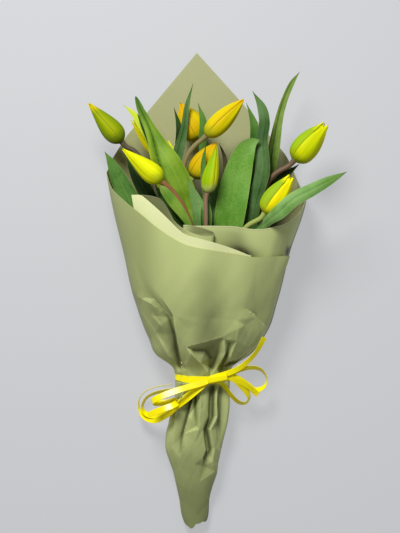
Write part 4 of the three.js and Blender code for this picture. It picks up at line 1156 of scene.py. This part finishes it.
def bladeFaces(leaf):
    given = [claspRow(leaf, 0), claspRow(leaf, 1), *leaf["rows"], (*leaf["tip"], 0.5, 10)]
    rows = np.array(given, float)
    ribLine = routeThrough(rows[:, :3], blade["perRow"])
    stop = np.arange(len(ribLine)) / blade["perRow"]
    width = alongRows(rows, 3, stop)
    blunt = leaf.get("shape") == "blunt"
    power, reach = (0.5, 0.7) if blunt else (0.25, 0.9)
    if blunt:
        width = np.where(stop > len(rows) - 2, np.maximum(width, rows[-2, 3] * 0.85), width)
    width = np.maximum(width * np.clip((stop[-1] - stop) / reach, 0, 1) ** power, 0.4)
    bend = np.radians(np.maximum(alongRows(rows, 4, stop), 1))
    _, side, up = acrossRoute(ribLine)
    k = np.linspace(-1, 1, blade["columns"])
    radius = (width / bend)[:, None]
    angle = k[None, :] * bend[:, None] / 2
    gone = lengthsAlong(ribLine)[:, None]
    free = ease(stop, 1.2, 2.6)[:, None]  # nothing waves where the leaf clasps the stem
    scale = (width / 20)[:, None]
    phase = leaf["stem"] * 1.7 + leaf["joint"] * 0.1
    wave = leaf["wave"] * np.abs(k) ** 2 * np.sin(gone / 17 * 2 + phase + 1.3 * np.sign(k)) * free * scale
    fold = smoothly(leaf.get("foldLine", [[0, 0], [len(rows), 0]]), stop)[:, None]
    channel = leaf.get("fold", 0.5) * 1.2 * hump(k, fold, 0.2) * free * scale
    ribs = 0.07 * np.sin(k * 24)[None, :] * free
    half = (blade["thick"] * (1 - np.abs(k)) + blade["edgeThick"] * np.abs(k))[None, :] / 2
    half = half * np.clip((stop[-1] - stop) / 0.6, 0.4, 1)[:, None]

    def face(offset):
        r = radius - offset * half
        acrossMove = r * np.sin(angle)
        upMove = leaf["side"] * (radius - r * np.cos(angle) + (wave - channel + ribs))
        sideways = acrossMove[..., None] * side[:, None, :]
        return ribLine[:, None, :] + sideways + upMove[..., None] * up[:, None, :]

    # painted shade in the fold line and beside it, and a painted lit strip on its other side
    beside = k - fold
    shade = 0.2 * (beside < -0.06) - 0.8 * hump(beside, 0, 0.1) - 0.4 * (beside > 0) * np.exp(-beside / 0.28)
    return face(1), face(-1), shade * free * ("foldLine" in leaf)


toneInputs = ("Deep", "Fresh", "Tip", "Waxy Bloom", "Ribbing", "Mottle")
for order, leaf in enumerate(leaves + smallLeaves):
    number = f"{order + 1:02d}"
    front, back, shade = bladeFaces(leaf)
    piece = thinPiece(f"blade_{number}", front, back, {"foldShading": shade})
    values = dict(zip(toneInputs, tones[leaf["tone"]]))
    piece.data.materials.append(finishOf(f"blade_{number}_skin", leafBlade, values, blade))
    if order < len(leaves):
        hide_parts(f"leaf_{number}")
    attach(piece, "root")
print("leaves made")


# Ribbon: a flat strap tied round the wrap, with its knot in front, loops and cut tails.
# A strand's point is x, y, z and how far its flat face is turned, in degrees.

ribbon = {
    "wide": 5.6, "thick": 0.4, "bandWide": 7.8, "bandGap": 0.4, "bandRise": 4.5,
    "knotAt": (2, -88, 43.4), "knotHigh": 3.2, "knotDeep": 3.8, "knotTilt": 11, "knotWide": 20,
    "curlWide": 1.12, "curlAxis": (-0.3, 0.88, -0.36), "perSpan": 14,
    "colours": {"Face": (255, 243, 0), "Shaded": (250, 230, 0)},
    "specular": 0.32, "roughness": 0.2, "bump": 0.12, "bumpDepth": 0.0002, "sharpAngle": 40,
}

strands = {
    "upperTail": [(-8, -88.5, 44, 0), (0, -86, 45, 0), (12.5, -82.5, 43.5, 5), (24.5, -77, 41.5, 20),
                  (34.5, -69, 41, 35), (42.5, -59, 43, 40), (49, -46.5, 47, 25)],
    "rightLoop": [(-6, -89, 43, 0), (4, -86.5, 43.5, 0), (16, -82.5, 41.5, 15), (27.5, -78.5, 38, 35),
                  (39.5, -77.5, 34, 45), (47.5, -81, 30, 60), (52.2, -90, 27, 78), (48.5, -97.5, 27, 55),
                  (40.5, -100, 29, 25), (31.5, -94, 33, 10), (20.5, -87, 38, 0), (8.5, -85.5, 42, 0),
                  (-6, -89, 42, 0)],
    "cutTail": [(0, -88, 42, 0), (10, -87.5, 40.5, 0), (20.5, -89, 38, 0), (30.5, -94.5, 34, 10),
                (37.5, -100, 31, 20), (43, -105, 29, 10)],
    "lowerLoop": [(-4, -90, 42, 10), (4.5, -91.5, 40.5, 30), (10.5, -98, 36, 45), (17.5, -107, 31, 45),
                  (24.5, -113, 27, 45), (30.5, -113.5, 25, 60), (34, -109, 26, 60), (32.5, -103.5, 29, 20),
                  (27.5, -97.5, 33, 0), (20.5, -90.5, 38, 0), (12, -86, 41.5, 0), (-2, -88.5, 42.5, 0)],
    "curl": [(-5, -89.5, 44, 0), (-14, -92.5, 46, 0), (-25, -95.5, 48, 0), (-37, -99, 50, 0),
             (-50, -103.5, 51, 0), (-60, -108, 50, 0), (-63.5, -111, 46.5, 0), (-60, -112.5, 42.5, 0),
             (-50, -112, 41, 0), (-42, -110.5, 41.5, 0), (-38.5, -111.5, 44.5, 0), (-41.5, -114, 47.5, 0),
             (-51, -117.5, 48.5, 0), (-61, -121.5, 46.5, 0), (-68, -125, 42, 0)],
    "bigLoop": [(-8.5, -92, 43.4, 10), (-16, -98, 44, 20), (-26.5, -107, 42, 20), (-38, -116, 37, 20),
                (-50, -126, 29, 15), (-62, -131.5, 21, 10), (-72.5, -128, 15, 35), (-77.8, -118, 13, 72),
                (-76.5, -108.5, 14, 80), (-69.5, -101.5, 16, 80), (-58.5, -97.5, 17.5, 80),
                (-44, -95, 18, 82)],
    "innerLoop": [(-10, -92, 41.5, 10), (-20, -97, 41, 30), (-33, -109, 36, 40), (-48, -121, 27, 30),
                  (-62, -127, 20, 25), (-71.5, -124, 16.5, 45), (-74, -117.5, 17, 62), (-70, -109, 20, 60),
                  (-62, -104, 25, 55), (-50, -101, 32, 45), (-36, -99, 39, 25), (-22, -94.5, 42.5, 5),
                  (-9, -91, 42.5, 0)],
}


def strapPiece(name, route, facing, wide, material):  # wide is a share of the strap's width
    piece = routePiece(name, route, {"facing": facing, "wide": wide})
    return grown(piece, sweptStrap, {
        "Width": ribbon["wide"] * mm, "Thickness": ribbon["thick"] * mm, "Material": material})


def makeStrand(name, points, material):
    table, perSpan = np.array(points, float), ribbon["perSpan"]
    route = routeThrough(table[:, :3], perSpan)
    stop = np.arange(len(route)) / perSpan
    roll = np.radians(alongRows(table, 3, stop))
    heading, side, up = acrossRoute(route)
    facing = up * np.cos(roll)[:, None] + side * np.sin(roll)[:, None]
    if name == "curl":
        facing = unit(np.cross(heading, ribbon["curlAxis"]))
    wide = np.full(len(route), ribbon["curlWide"] if name == "curl" else 1.0)
    wide[:perSpan] *= np.linspace(0.75, 1, perSpan)  # gathered at the knot
    return strapPiece(name, route, facing, wide, material)


def makeBand(material):  # round the wrap, where it is tied
    turn = np.radians(np.arange(0, 360.1, 2.5))
    tie = wrap["tieY"] + ribbon["bandRise"] * np.cos(turn) ** 2
    route = wallPoint(turn, tie, -ribbon["bandGap"], creased=False)
    facing = unit(np.cross([0.0, 1.0, 0.0], np.gradient(route, axis=0)))
    wide = np.full(len(route), ribbon["bandWide"] / ribbon["wide"])
    return strapPiece("band", route, facing, wide, material)


def makeKnot(material):  # a short turn of strap round the rest
    around = np.radians(np.arange(0, 361, 10))
    tilt = math.radians(ribbon["knotTilt"])
    up = np.cos(around) * ribbon["knotHigh"]
    deep = np.clip(1.3 * np.sin(around), -1, 1) * ribbon["knotDeep"]
    ring = np.stack([-up * math.sin(tilt), up * math.cos(tilt), deep], 1)
    outward = unit(np.cross(np.gradient(ring, axis=0), [math.cos(tilt), math.sin(tilt), 0.0]))
    wide = np.full(len(ring), ribbon["knotWide"] / ribbon["wide"])
    return strapPiece("knot", ring + ribbon["knotAt"], outward, wide, material)


satin = finishOf("ribbonSatin", ribbonGloss, ribbon["colours"], ribbon)
straps = [makeStrand(name, points, satin) for name, points in strands.items()]
yellowRibbon = joined([*straps, makeBand(satin), makeKnot(satin)], "yellow_ribbon")
yellowRibbon.data.set_sharp_from_angle(angle=math.radians(ribbon["sharpAngle"]))
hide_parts("ribbon")
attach(yellowRibbon, "root")
print("ribbon made")


# Floor, camera and light

studio = {
    "floorColour": (0.17, 0.172, 0.175, 1), "floorGlow": 0.44, "floorReach": 6.0,
    "cameraAt": (-0.0155, 0.0245, 2.25), "lens": 148.6,
    "skyColour": (0.96, 0.97, 1.0, 1), "skyStrength": 0.25,
    "lampAt": (-0.22, 0.62, 0.82), "lampAim": (0, 0.05, 0.05), "lampWatts": 11.2, "lampSize": 0.36,
}


def makeFloor():
    mesh = bpy.data.meshes.new("floor")
    reach = studio["floorReach"]
    corners = [(-reach, -reach, 0), (reach, -reach, 0), (reach, reach, 0), (-reach, reach, 0)]
    mesh.from_pydata(corners, [], [(0, 1, 2, 3)])
    material = bpy.data.materials.new("paleFloor")
    material.use_nodes = True
    shader = material.node_tree.nodes["Principled BSDF"].inputs
    shader["Base Color"].default_value = studio["floorColour"]
    shader["Roughness"].default_value = 0.9
    shader["Emission Color"].default_value = studio["skyColour"]
    shader["Emission Strength"].default_value = studio["floorGlow"]
    mesh.materials.append(material)
    pieceOf("floor", mesh)


def makeLamp():
    light = bpy.data.lights.new("lamp0", "AREA")
    light.energy = studio["lampWatts"]
    light.shape = "DISK"
    light.size = studio["lampSize"]
    lamp = pieceOf("lamp0", light)
    lamp.location = studio["lampAt"]
    aim = Vector(studio["lampAim"]) - Vector(studio["lampAt"])
    lamp.rotation_euler = aim.to_track_quat("-Z", "Y").to_euler()


makeFloor()
makeLamp()
world = bpy.data.worlds.new("studioSky")
world.use_nodes = True
sky = world.node_tree.nodes["Background"]
sky.inputs["Color"].default_value = studio["skyColour"]
sky.inputs["Strength"].default_value = studio["skyStrength"]
scene.world = world
camera = pieceOf("camera", bpy.data.cameras.new("camera"))
camera.data.lens = studio["lens"]
camera.data.sensor_width = 36
camera.location = studio["cameraAt"]
camera.data.clip_end = 20
scene.camera = camera
scene.view_settings.view_transform = "Standard"
print("studio set")
